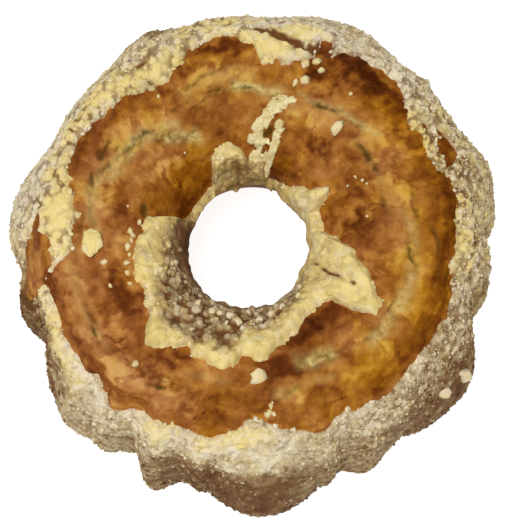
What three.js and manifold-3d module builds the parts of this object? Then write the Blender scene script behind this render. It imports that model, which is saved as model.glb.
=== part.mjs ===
// Fluted ring coffee cake, browned crust upwards, with a streusel coat outside and a collar of it in the hole.
// Millimetres, +Z up, standing on z = 0. Directions are degrees, anticlockwise from +X seen from above.
// A place on the cake's section is a number of turns: 0 outer edge of the base, 1 upright outer wall,
// 2 crown, 3 throat of the hole, 4 inner edge of the base.
import * as THREE from 'three';
import { mergeVertices } from 'three/addons/utils/BufferGeometryUtils.js';
import Module from 'manifold-3d';

const wasm = await Module();
wasm.setup();

// The ring's section.
const CROWN_RADIUS = 78;
const CROWN_HEIGHT = 100;
const WALL_RADIUS = 110.4;
const WALL_HEIGHT = 55;
const THROAT_RADIUS = 32.6;
const THROAT_HEIGHT = 71;
const BASE_OUTER_RADIUS = 99;
const BASE_INNER_RADIUS = 60;
const FOOT_SQUARENESS = 2.6;
const SHOULDER_SQUARENESS = 2.7;
const LIP_SQUARENESS = 2.0;
const BORE_SQUARENESS = 1.7;

// The axis of the ring in the frame, which is centred on the cake's outline.
const AXIS_X = -0.4;
const AXIS_Y = 3.7;

// Flutes of the baking tin: broad and narrow ones in turn, deep at the foot and gone at the shoulder.
const FLUTE_PAIRS = 7;
const FLUTE_START = 273;
const BROAD_FLUTE = 10;
const BROAD_FLUTE_POWER = 0.62;
const NARROW_FLUTE = 6;
const NARROW_FLUTE_POWER = 4.5;
const FLUTE_TOP = 95;
const FLUTE_FADE = 55;

// Where the wall stands out or in, unevenly baked: direction, size and half spread.
const WALL_BULGES = [
  { at: 15, by: 2.1, spread: 14 },
  { at: 63, by: 2.3, spread: 18 },
  { at: 90, by: -1.8, spread: 16 },
  { at: 108, by: -2.6, spread: 8 },
  { at: 128, by: -2.8, spread: 14 },
  { at: 151, by: -7.2, spread: 32 },
  { at: 172, by: -1.2, spread: 8 },
  { at: 188, by: -3.7, spread: 26 },
  { at: 203, by: -4.4, spread: 12 },
  { at: 216, by: -4.7, spread: 14 },
  { at: 228, by: -3.7, spread: 6 },
  { at: 240, by: -4.5, spread: 6 },
  { at: 246, by: 2.4, spread: 6 },
  { at: 252, by: -2.4, spread: 6 },
  { at: 258, by: 2.2, spread: 6 },
  { at: 273, by: 2.0, spread: 16 },
  { at: 288, by: 2.6, spread: 6 },
  { at: 294, by: -3.4, spread: 6 },
  { at: 300, by: -1.2, spread: 6 },
  { at: 320, by: -2.4, spread: 12 },
  { at: 345, by: -4.1, spread: 12 },
  { at: 352, by: -1.1, spread: 7 },
  { at: 2, by: -2.6, spread: 8 },
  { at: 12, by: -3.2, spread: 7 },
];

// The hole is a little off the axis and oval, and its wall swells inwards at one place.
const HOLE_SHIFT = 2.2;
const HOLE_SHIFT_TOWARDS = 250;
const HOLE_OVAL = 2.0;
const HOLE_LONG_WAY = 75;
const HOLE_SWELL = { at: 44, by: -3.5, spread: 34 };

// The crust lies between these turns, and swells slowly with a finer wave on top.
const CRUST = { from: 1.6, fadeIn: 0.2, to: 2.75, fadeOut: 0.25 };
const SLOW_SWELL = 0.9;
const FINE_SWELL = 0.5;

// Cracks along the crown: start and end directions, the turns they run at, and depth.
const CRACK_HALF_WIDTH = 0.055;
const CRACK_FADE = 7;
const CRACKS = [
  { from: 118, to: 166, turnFrom: 2.4, turnTo: 2.08, depth: 2.6 },
  { from: 84, to: 120, turnFrom: 2.1, turnTo: 2.14, depth: 1.8 },
  { from: 4, to: 74, turnFrom: 2.2, turnTo: 2.14, depth: 2.2 },
  { from: 318, to: 362, turnFrom: 2.0, turnTo: 2.08, depth: 1.8 },
  { from: 284, to: 304, turnFrom: 2.11, turnTo: 2.08, depth: 2.6 },
  { from: 234, to: 268, turnFrom: 2.0, turnTo: 1.98, depth: 1.6 },
  { from: 196, to: 232, turnFrom: 2.0, turnTo: 1.92, depth: 2.0 },
];

// Streusel: a coat on the outer wall and shoulder and a collar in the hole, each a little clear of the cake.
const COAT_GAP = 0.85;
const COAT_THICKNESS = 1.8;
const COAT_EDGE_TURN = 1.635;
const COLLAR_GAP = 1.0;
const COLLAR_THICKNESS = 1.6;
const COLLAR_EDGE_TURN = 2.66;
const SKIN_EDGE_THICKNESS = 0.8;
const SKIN_COARSE_LUMPS = 0.35;
const SKIN_FINE_LUMPS = 0.25;

// How far the coat's edge runs in over the crust, as spans of direction.
const COAT_TONGUES = [
  { from: 96, to: 183, reach: 0.26, soft: 10 },
  { from: 72, to: 86, reach: 0.29, soft: 6 },
  { from: 44, to: 70, reach: 0.1, soft: 6 },
  { from: 31, to: 36, reach: 0.19, soft: 5 },
  { from: 14, to: 22, reach: 0.17, soft: 5 },
  { from: 338, to: 400, reach: 0.085, soft: 10 },
  { from: 262, to: 277, reach: 0.17, soft: 8 },
  { from: 226, to: 238, reach: -0.145, soft: 7 },
  { from: 190, to: 222, reach: -0.09, soft: 8 },
];

// How far the collar's edge runs out over the crust.
const COLLAR_TONGUES = [
  { from: 176, to: 300, reach: -0.3, soft: 10 },
  { from: 222, to: 266, reach: -0.2, soft: 14 },
  { from: 319, to: 327, reach: -0.4, soft: 10 },
  { from: 300, to: 342, reach: -0.16, soft: 14 },
  { from: 25, to: 31, reach: -0.13, soft: 5 },
  { from: 44, to: 70, reach: 0.2, soft: 10 },
  { from: 97, to: 118, reach: -0.08, soft: 5 },
  { from: 126, to: 162, reach: 0.16, soft: 7 },
];

// A streak of streusel baked onto the crust, from the collar up to the crown.
const STREAK = { from: 76, to: 85, turnFrom: 2.06, turnTo: 2.72, spread: 4.5, height: 1.3 };

// Nuggets of streusel that stand out of the coat: direction, turn, height and half width in degrees.
const NUGGETS = [
  { at: 331, turn: 1.33, height: 3.0, spread: 4.2 },
  { at: 322, turn: 1.25, height: 2.0, spread: 3.4 },
  { at: 130, turn: 1.78, height: 2.2, spread: 9.0 },
  { at: 74, turn: 1.87, height: 1.8, spread: 4.0 },
];

// Small crumbs baked onto the crust and one loose lump as large as a berry.
const CRUMBS = [
  { at: 49, turn: 2.235, radius: 3.3 },
  { at: 271, turn: 2.05, radius: 3.2 },
  { at: 232, turn: 2.02, radius: 2.4 },
  { at: 206, turn: 2.12, radius: 2.4 },
];
const LUMP = { at: 188.5, turn: 2.08, length: 10.5, width: 14, height: 5.5 };

const DIRECTIONS = 98;
const CAKE_TURNS = [
  0, 0.25, 0.5, 0.8, 1.0, 1.2, 1.35, 1.5, 1.6, 1.7, 1.79, 1.87, 1.94, 2.0, 2.06, 2.12, 2.18, 2.25, 2.32,
  2.4, 2.5, 2.6, 2.75, 2.9, 3.0, 3.2, 3.45, 3.7, 4.0,
];
const COAT_TURNS = [0.25, 0.5, 0.8, 1.0, 1.2, 1.35];
const COAT_EDGE_SHARES = [0.3, 0.55, 0.75, 0.9, 1];
const COLLAR_EDGE_SHARES = [0, 0.2, 0.4, 0.6, 0.8];
const COLLAR_TURNS = [2.9, 3.0, 3.2];

const radians = (degrees) => (degrees * Math.PI) / 180;
const clamp = (value) => Math.min(1, Math.max(0, value));

function smooth(value) {
  const t = clamp(value);
  return t * t * (3 - 2 * t);
}

function between(direction, at) {
  return ((((direction - at + 180) % 360) + 360) % 360) - 180;
}

function bell(direction, at, spread) {
  const away = Math.abs(between(direction, at)) / spread;
  return away < 1 ? 0.5 + 0.5 * Math.cos(Math.PI * away) : 0;
}

function span(direction, from, to, soft) {
  const half = (to - from) / 2;
  const away = Math.abs(between(direction, from + half));
  return smooth((half + soft - away) / soft);
}

function flutes(direction) {
  const wave = Math.cos(FLUTE_PAIRS * radians(direction - FLUTE_START));
  const broad = BROAD_FLUTE * Math.pow(Math.max(wave, 0), BROAD_FLUTE_POWER);
  const narrow = NARROW_FLUTE * Math.pow(Math.max(-wave, 0), NARROW_FLUTE_POWER);
  return broad + narrow;
}

// One quarter of the section: a superellipse arc from a flat tangent to an upright one or back.
function quarter(turn) {
  const angle = ((turn % 1) * Math.PI) / 2;
  const c = Math.cos(angle);
  const s = Math.sin(angle);
  if (turn < 1) {
    const power = 2 / FOOT_SQUARENESS;
    const r = BASE_OUTER_RADIUS + (WALL_RADIUS - BASE_OUTER_RADIUS) * Math.pow(s, power);
    return [r, WALL_HEIGHT * (1 - Math.pow(c, power))];
  }
  if (turn < 2) {
    const power = 2 / SHOULDER_SQUARENESS;
    const r = CROWN_RADIUS + (WALL_RADIUS - CROWN_RADIUS) * Math.pow(c, power);
    return [r, WALL_HEIGHT + (CROWN_HEIGHT - WALL_HEIGHT) * Math.pow(s, power)];
  }
  if (turn < 3) {
    const power = 2 / LIP_SQUARENESS;
    const r = CROWN_RADIUS - (CROWN_RADIUS - THROAT_RADIUS) * Math.pow(s, power);
    return [r, THROAT_HEIGHT + (CROWN_HEIGHT - THROAT_HEIGHT) * Math.pow(c, power)];
  }
  if (turn < 4) {
    const power = 2 / BORE_SQUARENESS;
    const r = THROAT_RADIUS + (BASE_INNER_RADIUS - THROAT_RADIUS) * (1 - Math.pow(c, power));
    return [r, THROAT_HEIGHT * (1 - Math.pow(s, power))];
  }
  return [BASE_INNER_RADIUS, 0];
}

// The plain cake surface, flutes and hole included, before cracks and swells.
function plainPoint(direction, turn) {
  const [radius, z] = quarter(turn);
  let r = radius;
  if (turn < 2) {
    const fade = smooth((FLUTE_TOP - z) / FLUTE_FADE) * smooth(turn / 0.6 + 0.25);
    const rise = turn < 1 ? smooth(turn / 0.5 + 0.2) : 1 - smooth((turn - 1.45) / 0.5);
    r += flutes(direction) * fade;
    for (const bulge of WALL_BULGES) {
      r += bulge.by * bell(direction, bulge.at, bulge.spread) * rise;
    }
  } else {
    const share = turn < 3 ? smooth(turn - 2) : 1 - smooth((turn - 3) / 0.8);
    const shift = HOLE_SHIFT * Math.cos(radians(direction - HOLE_SHIFT_TOWARDS));
    const oval = HOLE_OVAL * Math.cos(2 * radians(direction - HOLE_LONG_WAY));
    const swell = HOLE_SWELL.by * bell(direction, HOLE_SWELL.at, HOLE_SWELL.spread);
    r += (shift + oval + swell) * share;
  }
  return [r, z];
}

// Crust relief: slow swells, the cracks along the crown and the streak of streusel.
function relief(direction, turn) {
  const crust = smooth((turn - CRUST.from) / CRUST.fadeIn) * smooth((CRUST.to - turn) / CRUST.fadeOut);
  const a = radians(direction);
  let height = SLOW_SWELL * Math.sin(5 * a + 9 * turn) * Math.sin(3 * a - 5 * turn + 1.3);
  height += FINE_SWELL * Math.sin(13 * a + 14 * turn + 0.6);
  for (const crack of CRACKS) {
    const middle = (crack.from + crack.to) / 2;
    const along = between(direction, middle) / (crack.to - crack.from) + 0.5;
    const line = crack.turnFrom + (crack.turnTo - crack.turnFrom) * clamp(along);
    const across = (turn - line) / CRACK_HALF_WIDTH;
    height -= crack.depth * span(direction, crack.from, crack.to, CRACK_FADE) * Math.exp(-across * across);
  }
  const climb = clamp((turn - STREAK.turnFrom) / (STREAK.turnTo - STREAK.turnFrom));
  const streak = bell(direction, STREAK.from + (STREAK.to - STREAK.from) * climb, STREAK.spread);
  const ends = smooth((turn - STREAK.turnFrom) / 0.08) * smooth((STREAK.turnTo - turn) / 0.08);
  return height * crust + STREAK.height * streak * ends;
}

// A point of the cake's section moved out along the section's normal.
function sectionPoint(direction, turn, out) {
  const step = 0.012;
  const low = Math.max(turn - step, 0.001);
  const high = Math.min(turn + step, 3.999);
  const [r0, z0] = plainPoint(direction, low);
  const [r1, z1] = plainPoint(direction, high);
  const length = Math.hypot(r1 - r0, z1 - z0);
  const [r, z] = plainPoint(direction, turn);
  return [r + (out * (z1 - z0)) / length, z - (out * (r1 - r0)) / length];
}

function cakePoint(direction, turn) {
  if (turn === 0 || turn === 4) {
    return plainPoint(direction, turn);
  }
  return sectionPoint(direction, turn, relief(direction, turn));
}

function place(direction, [r, z]) {
  return [AXIS_X + r * Math.cos(radians(direction)), AXIS_Y + r * Math.sin(radians(direction)), z];
}

function indexed(points, faces) {
  const geometry = new THREE.BufferGeometry();
  geometry.setAttribute('position', new THREE.Float32BufferAttribute(points.flat(), 3));
  geometry.setIndex(faces.flat());
  return geometry;
}

// A closed solid from a section loop carried once round the axis. A skin's loop goes out on the face that
// shows and returns along the cake, where its quads are split the other way to match the cake's own.
function ringSolid(sectionAt, isSkin) {
  const points = [];
  const faces = [];
  let count = 0;
  for (let i = 0; i < DIRECTIONS; i += 1) {
    const direction = (360 * i) / DIRECTIONS;
    const loop = sectionAt(direction);
    count = loop.length;
    for (const point of loop) {
      points.push(place(direction, point));
    }
  }
  const back = isSkin ? count / 2 : count;
  for (let i = 0; i < DIRECTIONS; i += 1) {
    const next = (i + 1) % DIRECTIONS;
    for (let j = 0; j < count; j += 1) {
      const up = (j + 1) % count;
      const [a, b, c, d] = [i * count + j, next * count + j, next * count + up, i * count + up];
      faces.push(...(j < back ? [[a, b, c], [a, c, d]] : [[a, b, d], [b, c, d]]));
    }
  }
  return indexed(points, faces);
}

function cakeSection(direction) {
  return CAKE_TURNS.map((turn) => cakePoint(direction, turn));
}

function ripple(direction) {
  const a = radians(direction);
  return 0.012 * Math.sin(23 * a + 0.7) + 0.01 * Math.sin(37 * a + 2.1) + 0.008 * Math.sin(11 * a + 4.0);
}

function tongueEdge(direction, start, tongues) {
  let turn = start + ripple(direction);
  for (const tongue of tongues) {
    turn += tongue.reach * span(direction, tongue.from, tongue.to, tongue.soft);
  }
  return turn;
}

function nuggets(direction, turn) {
  let height = 0;
  for (const nugget of NUGGETS) {
    const across = between(direction, nugget.at) / nugget.spread;
    const up = (turn - nugget.turn) / (nugget.spread * 0.02);
    height += nugget.height * Math.exp(-across * across - up * up);
  }
  return height;
}

// A skin of streusel: the face that shows, thin at both ends, then back along the face towards the cake.
function skinSection(direction, turns, gap, thickness) {
  const a = radians(direction);
  const floor = (turn) => gap + Math.max(relief(direction, turn), 0);
  const outside = turns.map((turn, k) => {
    const coarse = SKIN_COARSE_LUMPS * Math.sin(19 * a + 17 * turn);
    const fine = SKIN_FINE_LUMPS * Math.sin(31 * a - 23 * turn + 1.0);
    const full = thickness + coarse + fine + nuggets(direction, turn);
    const depth = k === 0 || k === turns.length - 1 ? SKIN_EDGE_THICKNESS : full;
    return sectionPoint(direction, turn, floor(turn) + depth);
  });
  const inside = turns.map((turn) => sectionPoint(direction, turn, floor(turn)));
  return [...outside, ...inside.reverse()];
}

const stretch = (from, to, fractions) => fractions.map((fraction) => from + (to - from) * fraction);

function coatSection(direction) {
  const edge = tongueEdge(direction, COAT_EDGE_TURN, COAT_TONGUES);
  const turns = [...COAT_TURNS, ...stretch(COAT_TURNS.at(-1), edge, COAT_EDGE_SHARES)];
  return skinSection(direction, turns, COAT_GAP, COAT_THICKNESS);
}

function collarSection(direction) {
  const edge = tongueEdge(direction, COLLAR_EDGE_TURN, COLLAR_TONGUES);
  const turns = [...stretch(edge, COLLAR_TURNS[0], COLLAR_EDGE_SHARES), ...COLLAR_TURNS];
  return skinSection(direction, turns, COLLAR_GAP, COLLAR_THICKNESS);
}

function toManifold(geometry) {
  const mesh = new wasm.Mesh({
    numProp: 3,
    vertProperties: new Float32Array(geometry.attributes.position.array),
    triVerts: new Uint32Array(geometry.index.array),
  });
  return new wasm.Manifold(mesh);
}

function fromManifold(solid) {
  const mesh = solid.getMesh();
  const geometry = new THREE.BufferGeometry();
  geometry.setAttribute('position', new THREE.Float32BufferAttribute(mesh.vertProperties, 3));
  geometry.setIndex(Array.from(mesh.triVerts));
  return geometry;
}

// A rough pebble of streusel: a ball with uneven radius, wider than high.
function pebble(center, length, width, height, turned, seed) {
  const ball = new THREE.IcosahedronGeometry(1, 1);
  ball.deleteAttribute('normal');
  ball.deleteAttribute('uv');
  const geometry = mergeVertices(ball);
  const spots = geometry.attributes.position;
  for (let k = 0; k < spots.count; k += 1) {
    const [x, y, z] = [spots.getX(k), spots.getY(k), spots.getZ(k)];
    const dents = 0.1 * Math.sin(3 * x + seed) * Math.sin(4 * y - seed);
    const swell = 1 + dents + 0.06 * Math.sin(5 * z + 2 * seed);
    spots.setXYZ(k, (x * swell * length) / 2, (y * swell * width) / 2, (z * swell * height) / 2);
  }
  geometry.rotateZ(radians(turned));
  geometry.translate(center[0], center[1], center[2]);
  return geometry;
}

function fusedCake() {
  let solid = toManifold(ringSolid(cakeSection, false));
  CRUMBS.forEach((crumb, k) => {
    const size = crumb.radius * 2;
    const center = place(crumb.at, cakePoint(crumb.at, crumb.turn));
    solid = solid.add(toManifold(pebble(center, size * 1.1, size, size * 0.9, 40 * k, k)));
  });
  return fromManifold(solid);
}

function lumpSolid() {
  const [x, y, z] = place(LUMP.at, cakePoint(LUMP.at, LUMP.turn));
  const center = [x, y, z + LUMP.height / 2 + COAT_GAP];
  return pebble(center, LUMP.length, LUMP.width, LUMP.height, LUMP.at, 2);
}

function node(name, geometry, color, roughness) {
  const mesh = new THREE.Mesh(geometry, new THREE.MeshStandardMaterial({ color, roughness, metalness: 0 }));
  mesh.name = name;
  return mesh;
}

const cake = new THREE.Group();
cake.name = 'coffee_cake';
cake.add(node('cake_ring', fusedCake(), '#a06a2e', 0.6));
cake.add(node('streusel_coat', ringSolid(coatSection, true), '#cdb787', 0.9));
cake.add(node('streusel_collar', ringSolid(collarSection, true), '#d6c088', 0.9));
cake.add(node('streusel_lump', lumpSolid(), '#e3c78b', 0.9));

export default cake;
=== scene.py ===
# %% [markdown]
# A ring coffee cake, baked in a fluted tin and resting with its browned crust upwards. A pale streusel coat
# covers the outer wall and the shoulder, and a streusel collar lines the hole. The solids come in as a
# fixed frame, and every surface that shows is made again here, finer, from the same section formulas, in
# millimetres.

# %% Load the solids
import bmesh
import bpy
import numpy as np
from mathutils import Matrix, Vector, noise


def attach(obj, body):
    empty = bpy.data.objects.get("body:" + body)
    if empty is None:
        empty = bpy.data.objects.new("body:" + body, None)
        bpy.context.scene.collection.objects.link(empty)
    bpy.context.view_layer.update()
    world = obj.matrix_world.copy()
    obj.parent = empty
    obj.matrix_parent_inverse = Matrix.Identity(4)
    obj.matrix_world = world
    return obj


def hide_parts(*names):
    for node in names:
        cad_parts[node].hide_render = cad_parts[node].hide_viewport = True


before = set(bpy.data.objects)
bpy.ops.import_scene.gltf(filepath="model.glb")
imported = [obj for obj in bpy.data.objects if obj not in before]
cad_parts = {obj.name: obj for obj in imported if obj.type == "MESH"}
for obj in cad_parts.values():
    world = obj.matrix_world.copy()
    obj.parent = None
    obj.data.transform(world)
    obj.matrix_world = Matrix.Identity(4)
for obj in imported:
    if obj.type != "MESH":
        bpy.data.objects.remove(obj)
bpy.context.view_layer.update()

MM = 0.001
print("solids:", sorted(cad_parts))

# %% [markdown]
# The cake is one section carried round an axis. It could be a curve that a modifier spins, but a formula
# also says where on the cake each point lies. A place is a direction in degrees, anticlockwise from +X seen
# from above, and a turn along the section: 0 outer edge of the base, 1 upright wall, 2 crown, 3 throat of
# the hole, 4 inner edge of the base. With these two numbers every crack, crumb and browned patch can be put
# where it belongs.

# %% The section of the ring
AXIS = np.array([-0.4, 3.7, 0.0])
CROWN_RADIUS, CROWN_HEIGHT = 78.0, 100.0
WALL_RADIUS, WALL_HEIGHT = 110.4, 55.0
THROAT_RADIUS, THROAT_HEIGHT = 32.6, 71.0
BASE_OUTER_RADIUS, BASE_INNER_RADIUS = 99.0, 60.0
FOOT_POWER, SHOULDER_POWER, LIP_POWER, BORE_POWER = 2 / 2.6, 2 / 2.7, 2 / 2.0, 2 / 1.7
FIRST_TURN, LAST_TURN = 0.001, 3.9999


def smooth(value):
    """A soft step, 0 below 0 and 1 above 1."""
    t = np.clip(value, 0, 1)
    return t * t * (3 - 2 * t)


def between(direction, at):
    """Degrees from one direction to another, from -180 to 180."""
    return (direction - at + 180) % 360 - 180


def bell(direction, at, spread):
    """1 at a direction, falling to 0 at its spread on both sides."""
    away = np.minimum(np.abs(between(direction, at)) / spread, 1)
    return 0.5 + 0.5 * np.cos(np.pi * away)


def span(direction, start, end, soft):
    """1 from one direction to another, falling to 0 over soft ends."""
    half = (end - start) / 2
    return smooth((half + soft - np.abs(between(direction, start + half))) / soft)


def quarter(turn):
    """Radius and height of the plain section: four quarter curves, one for each turn."""
    turn = np.minimum(turn, LAST_TURN)
    angle = (turn % 1) * np.pi / 2
    c, s = np.cos(angle), np.sin(angle)
    pieces = [turn < 1, turn < 2, turn < 3]
    radius = np.select(
        pieces,
        [
            BASE_OUTER_RADIUS + (WALL_RADIUS - BASE_OUTER_RADIUS) * s**FOOT_POWER,
            CROWN_RADIUS + (WALL_RADIUS - CROWN_RADIUS) * c**SHOULDER_POWER,
            CROWN_RADIUS - (CROWN_RADIUS - THROAT_RADIUS) * s**LIP_POWER,
        ],
        THROAT_RADIUS + (BASE_INNER_RADIUS - THROAT_RADIUS) * (1 - c**BORE_POWER),
    )
    height = np.select(
        pieces,
        [
            WALL_HEIGHT * (1 - c**FOOT_POWER),
            WALL_HEIGHT + (CROWN_HEIGHT - WALL_HEIGHT) * s**SHOULDER_POWER,
            THROAT_HEIGHT + (CROWN_HEIGHT - THROAT_HEIGHT) * c**LIP_POWER,
        ],
        THROAT_HEIGHT * (1 - s**BORE_POWER),
    )
    return radius, height


print("crown", CROWN_HEIGHT, "mm high, throat", 2 * THROAT_RADIUS, "mm wide")

# %% Flutes of the tin, bulges of the wall and the uneven hole
FLUTE_PAIRS, FLUTE_START = 7, 273
BROAD_FLUTE, BROAD_POWER = 10.0, 0.62
NARROW_FLUTE, NARROW_POWER = 6.0, 4.5
FLUTE_TOP, FLUTE_FADE = 95.0, 55.0
WALL_BULGES = [
    (15, 2.1, 14), (63, 2.3, 18), (90, -1.8, 16), (108, -2.6, 8), (128, -2.8, 14), (151, -7.2, 32),
    (172, -1.2, 8), (188, -3.7, 26), (203, -4.4, 12), (216, -4.7, 14), (228, -3.7, 6), (240, -4.5, 6),
    (246, 2.4, 6), (252, -2.4, 6), (258, 2.2, 6), (273, 2.0, 16), (288, 2.6, 6), (294, -3.4, 6),
    (300, -1.2, 6), (320, -2.4, 12), (345, -4.1, 12), (352, -1.1, 7), (2, -2.6, 8), (12, -3.2, 7),
]
HOLE_SHIFT, HOLE_SHIFT_TOWARDS = 2.2, 250
HOLE_OVAL, HOLE_LONG_WAY = 2.0, 75
HOLE_SWELL = (44, -3.5, 34)
NORMAL_STEP = 0.012


def flutes(direction):
    """Millimetres by which the flutes stand out: broad ones with narrow ones between them."""
    wave = np.cos(FLUTE_PAIRS * np.radians(direction - FLUTE_START))
    broad = BROAD_FLUTE * np.maximum(wave, 0) ** BROAD_POWER
    return broad + NARROW_FLUTE * np.maximum(-wave, 0) ** NARROW_POWER


def plain_point(direction, turn):
    """Radius and height with flutes and bulges, which fade at foot and crown, and with the uneven hole."""
    radius, height = quarter(turn)
    fade = smooth((FLUTE_TOP - height) / FLUTE_FADE) * smooth(turn / 0.6 + 0.25)
    rise = np.where(turn < 1, smooth(turn / 0.5 + 0.2), 1 - smooth((turn - 1.45) / 0.5))
    bulge = sum(by * bell(direction, at, spread) for at, by, spread in WALL_BULGES)
    share = np.where(turn < 3, smooth(turn - 2), 1 - smooth((turn - 3) / 0.8))
    at, by, spread = HOLE_SWELL
    hole = HOLE_SHIFT * np.cos(np.radians(direction - HOLE_SHIFT_TOWARDS))
    hole = hole + by * bell(direction, at, spread)
    hole += HOLE_OVAL * np.cos(2 * np.radians(direction - HOLE_LONG_WAY))
    return radius + np.where(turn < 2, flutes(direction) * fade + bulge * rise, hole * share), height


def surface(direction, turn, out):
    """Points of the cake, moved out by some millimetres along the section's normal."""
    r0, z0 = plain_point(direction, np.maximum(turn - NORMAL_STEP, FIRST_TURN))
    r1, z1 = plain_point(direction, np.minimum(turn + NORMAL_STEP, LAST_TURN))
    length = np.hypot(r1 - r0, z1 - z0)
    r, z = plain_point(direction, turn)
    r = r + out * (z1 - z0) / length
    z = z - out * (r1 - r0) / length
    angle = np.radians(direction)
    return np.stack([r * np.cos(angle), r * np.sin(angle), z], -1) + AXIS


print(2 * FLUTE_PAIRS, "flutes, broad ones", BROAD_FLUTE, "mm deep")

# %% [markdown]
# Baked dough is never smooth: the crust swells in soft lumps and streusel is heaped grains. A displacement
# modifier could raise them. Noise that is worked out at each point of the mesh is chosen because it can be
# mixed by place and read again, so that loose crumbs find the surface. The relief is real geometry and
# looks right from every side. Layers of soft noise give the lumps, and cells, each one a rounded dome, give
# the grains.

# %% Noise for lumps and grains
WALL_TOP, WALL_STREAK = 66.0, 0.54
DOME_NARROWING = 1.35
SEAM_WIDTH = 0.25

# Steps in noise space from one seed to the next, and the mix that gives each plate a tone.
SOFT_SEED_STEP = np.array([31.7, 17.3, 11.9])
GRAIN_SEED_STEP = np.array([13.1, 29.9, 7.7])
PLATE_SEED_STEP = np.array([19.3, 5.1, 23.7])
PLATE_TONE_MIX = np.array([127.1, 311.7, 74.7])
PLATE_TONE_SCATTER = 437.5


def soft_noise(points, size, octaves, seed):
    """Soft random swells about `size` millimetres across, from about -1 to 1."""
    places = points.reshape(-1, 3) / size + seed * SOFT_SEED_STEP
    values = [noise.fractal(place, 1.0, 2.0, octaves) for place in places.tolist()]
    return np.array(values).reshape(points.shape[:-1])


def grain_noise(points, size, seed):
    """Rounded grains about `size` millimetres across: 1 on top of a grain, 0 in the gaps."""
    places = points.reshape(-1, 3) / size + seed * GRAIN_SEED_STEP
    nearest = np.array([noise.voronoi(place)[0][0] for place in places.tolist()])
    return np.clip(1 - (nearest * DOME_NARROWING) ** 2, 0, 1).reshape(points.shape[:-1])


def plate_noise(points, size, seed):
    """Plates about `size` millimetres across: a tone for each, from 0 to 1, and how near a seam is."""
    places = points.reshape(-1, 3) / size + seed * PLATE_SEED_STEP
    found = [noise.voronoi(place) for place in places.tolist()]
    seeds = np.array([tuple(feature[1][0]) for feature in found])
    gap = np.array([feature[0][1] - feature[0][0] for feature in found])
    tone = np.sin(seeds @ PLATE_TONE_MIX) * PLATE_TONE_SCATTER
    shape = points.shape[:-1]
    return (tone - np.floor(tone)).reshape(shape), smooth(1 - gap / SEAM_WIDTH).reshape(shape)


def drawn_upright(points):
    """The same points with heights on the wall pressed together, so that noise on them stands upright."""
    height = points[..., 2]
    pressed = WALL_STREAK * height + (1 - WALL_STREAK) * np.maximum(height - WALL_TOP, 0)
    return np.concatenate([points[..., :2], pressed[..., None]], -1)


print("patterns on the wall are", round(1 / WALL_STREAK, 2), "times as tall as wide")


# %% Spots and edges placed by direction and turn
def patches(direction, turn, rows):
    """The sum of soft spots: direction, turn, half width, half length along the section and strength."""
    total = np.zeros(np.broadcast(direction, turn).shape)
    for at, middle, wide, high, strength in rows:
        across = between(direction, at) / wide
        along = (turn - middle) / high
        total += strength * np.exp(-across * across - along * along)
    return total


def edge_line(direction, corners):
    """A line read through its corners, each given as direction and turn or another value."""
    at, value = np.array(corners, float).T
    return np.interp(direction % 360, at, value, period=360)


# %% Grids of points carried round the ring
def ring_faces(directions, stations):
    """Four-sided faces of a grid that closes both round the ring and along its section."""
    i, j = np.meshgrid(np.arange(directions), np.arange(stations), indexing="ij")
    after = (i + 1) % directions
    up = (j + 1) % stations
    quads = [i * stations + j, after * stations + j, after * stations + up, i * stations + up]
    return np.stack(quads, -1).reshape(-1, 4)


def grid_normals(grid):
    """Unit normals of a grid's points."""
    along = np.gradient(grid, axis=1)
    around = np.roll(grid, -1, axis=0) - np.roll(grid, 1, axis=0)
    normal = np.cross(around, along)
    return normal / np.linalg.norm(normal, axis=-1, keepdims=True)


def mesh_piece(name, points, faces, fields, material):
    """A new object from arrays of points in millimetres, with one number a point for each named field."""
    mesh = bpy.data.meshes.new(name)
    mesh.from_pydata((points.reshape(-1, 3) * MM).tolist(), [], faces.tolist())
    for field, values in fields.items():
        numbers = np.ascontiguousarray(values, dtype=np.float32).ravel()
        mesh.attributes.new(field, "FLOAT", "POINT").data.foreach_set("value", numbers)
    mesh.shade_smooth()
    mesh.materials.append(material)
    piece = bpy.data.objects.new(name, mesh)
    bpy.context.scene.collection.objects.link(piece)
    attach(piece, "root")
    print(name, "has", sum(len(face) - 2 for face in faces), "triangles")
    return piece


# %% [markdown]
# Materials are node graphs. Colours are written as sRGB hex values, as an eye reads them, and one function
# turns them into the linear numbers that light works with. Another adds a node, so that each line of a
# material says what the node is and what feeds it.


# %% Colours and nodes
def linear(code):
    """The linear colour of an sRGB hex code."""
    srgb = np.array([int(code[k:k + 2], 16) for k in (1, 3, 5)]) / 255
    rgb = np.where(srgb <= 0.04045, srgb / 12.92, ((srgb + 0.055) / 1.055) ** 2.4)
    return (*rgb.tolist(), 1.0)


def per_size(millimetres):
    """The texture scale that gives a pattern of this size, in object coordinates."""
    return 1 / (millimetres * MM)


def empty_material(name):
    """A new material without nodes, and its node tree."""
    material = bpy.data.materials.new(name)
    material.use_nodes = True
    material.node_tree.nodes.clear()
    return material, material.node_tree


def add_node(tree, kind, inputs=None, stops=None, **settings):
    """A node with its settings and a ramp's stops; an input is a value or the socket that feeds it."""
    node = tree.nodes.new(kind)
    for setting, value in settings.items():
        setattr(node, setting, value)
    for socket, value in (inputs or {}).items():
        if isinstance(value, bpy.types.NodeSocket):
            tree.links.new(value, node.inputs[socket])
        else:
            node.inputs[socket].default_value = value
    if stops:
        elements = node.color_ramp.elements
        while len(elements) < len(stops):
            elements.new(0.5)
        for element, (position, code) in zip(elements, stops):
            element.position = position
            element.color = linear(code)
    return node


print("half-bright #808080 is", round(linear("#808080")[0], 3), "in linear light")


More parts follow.
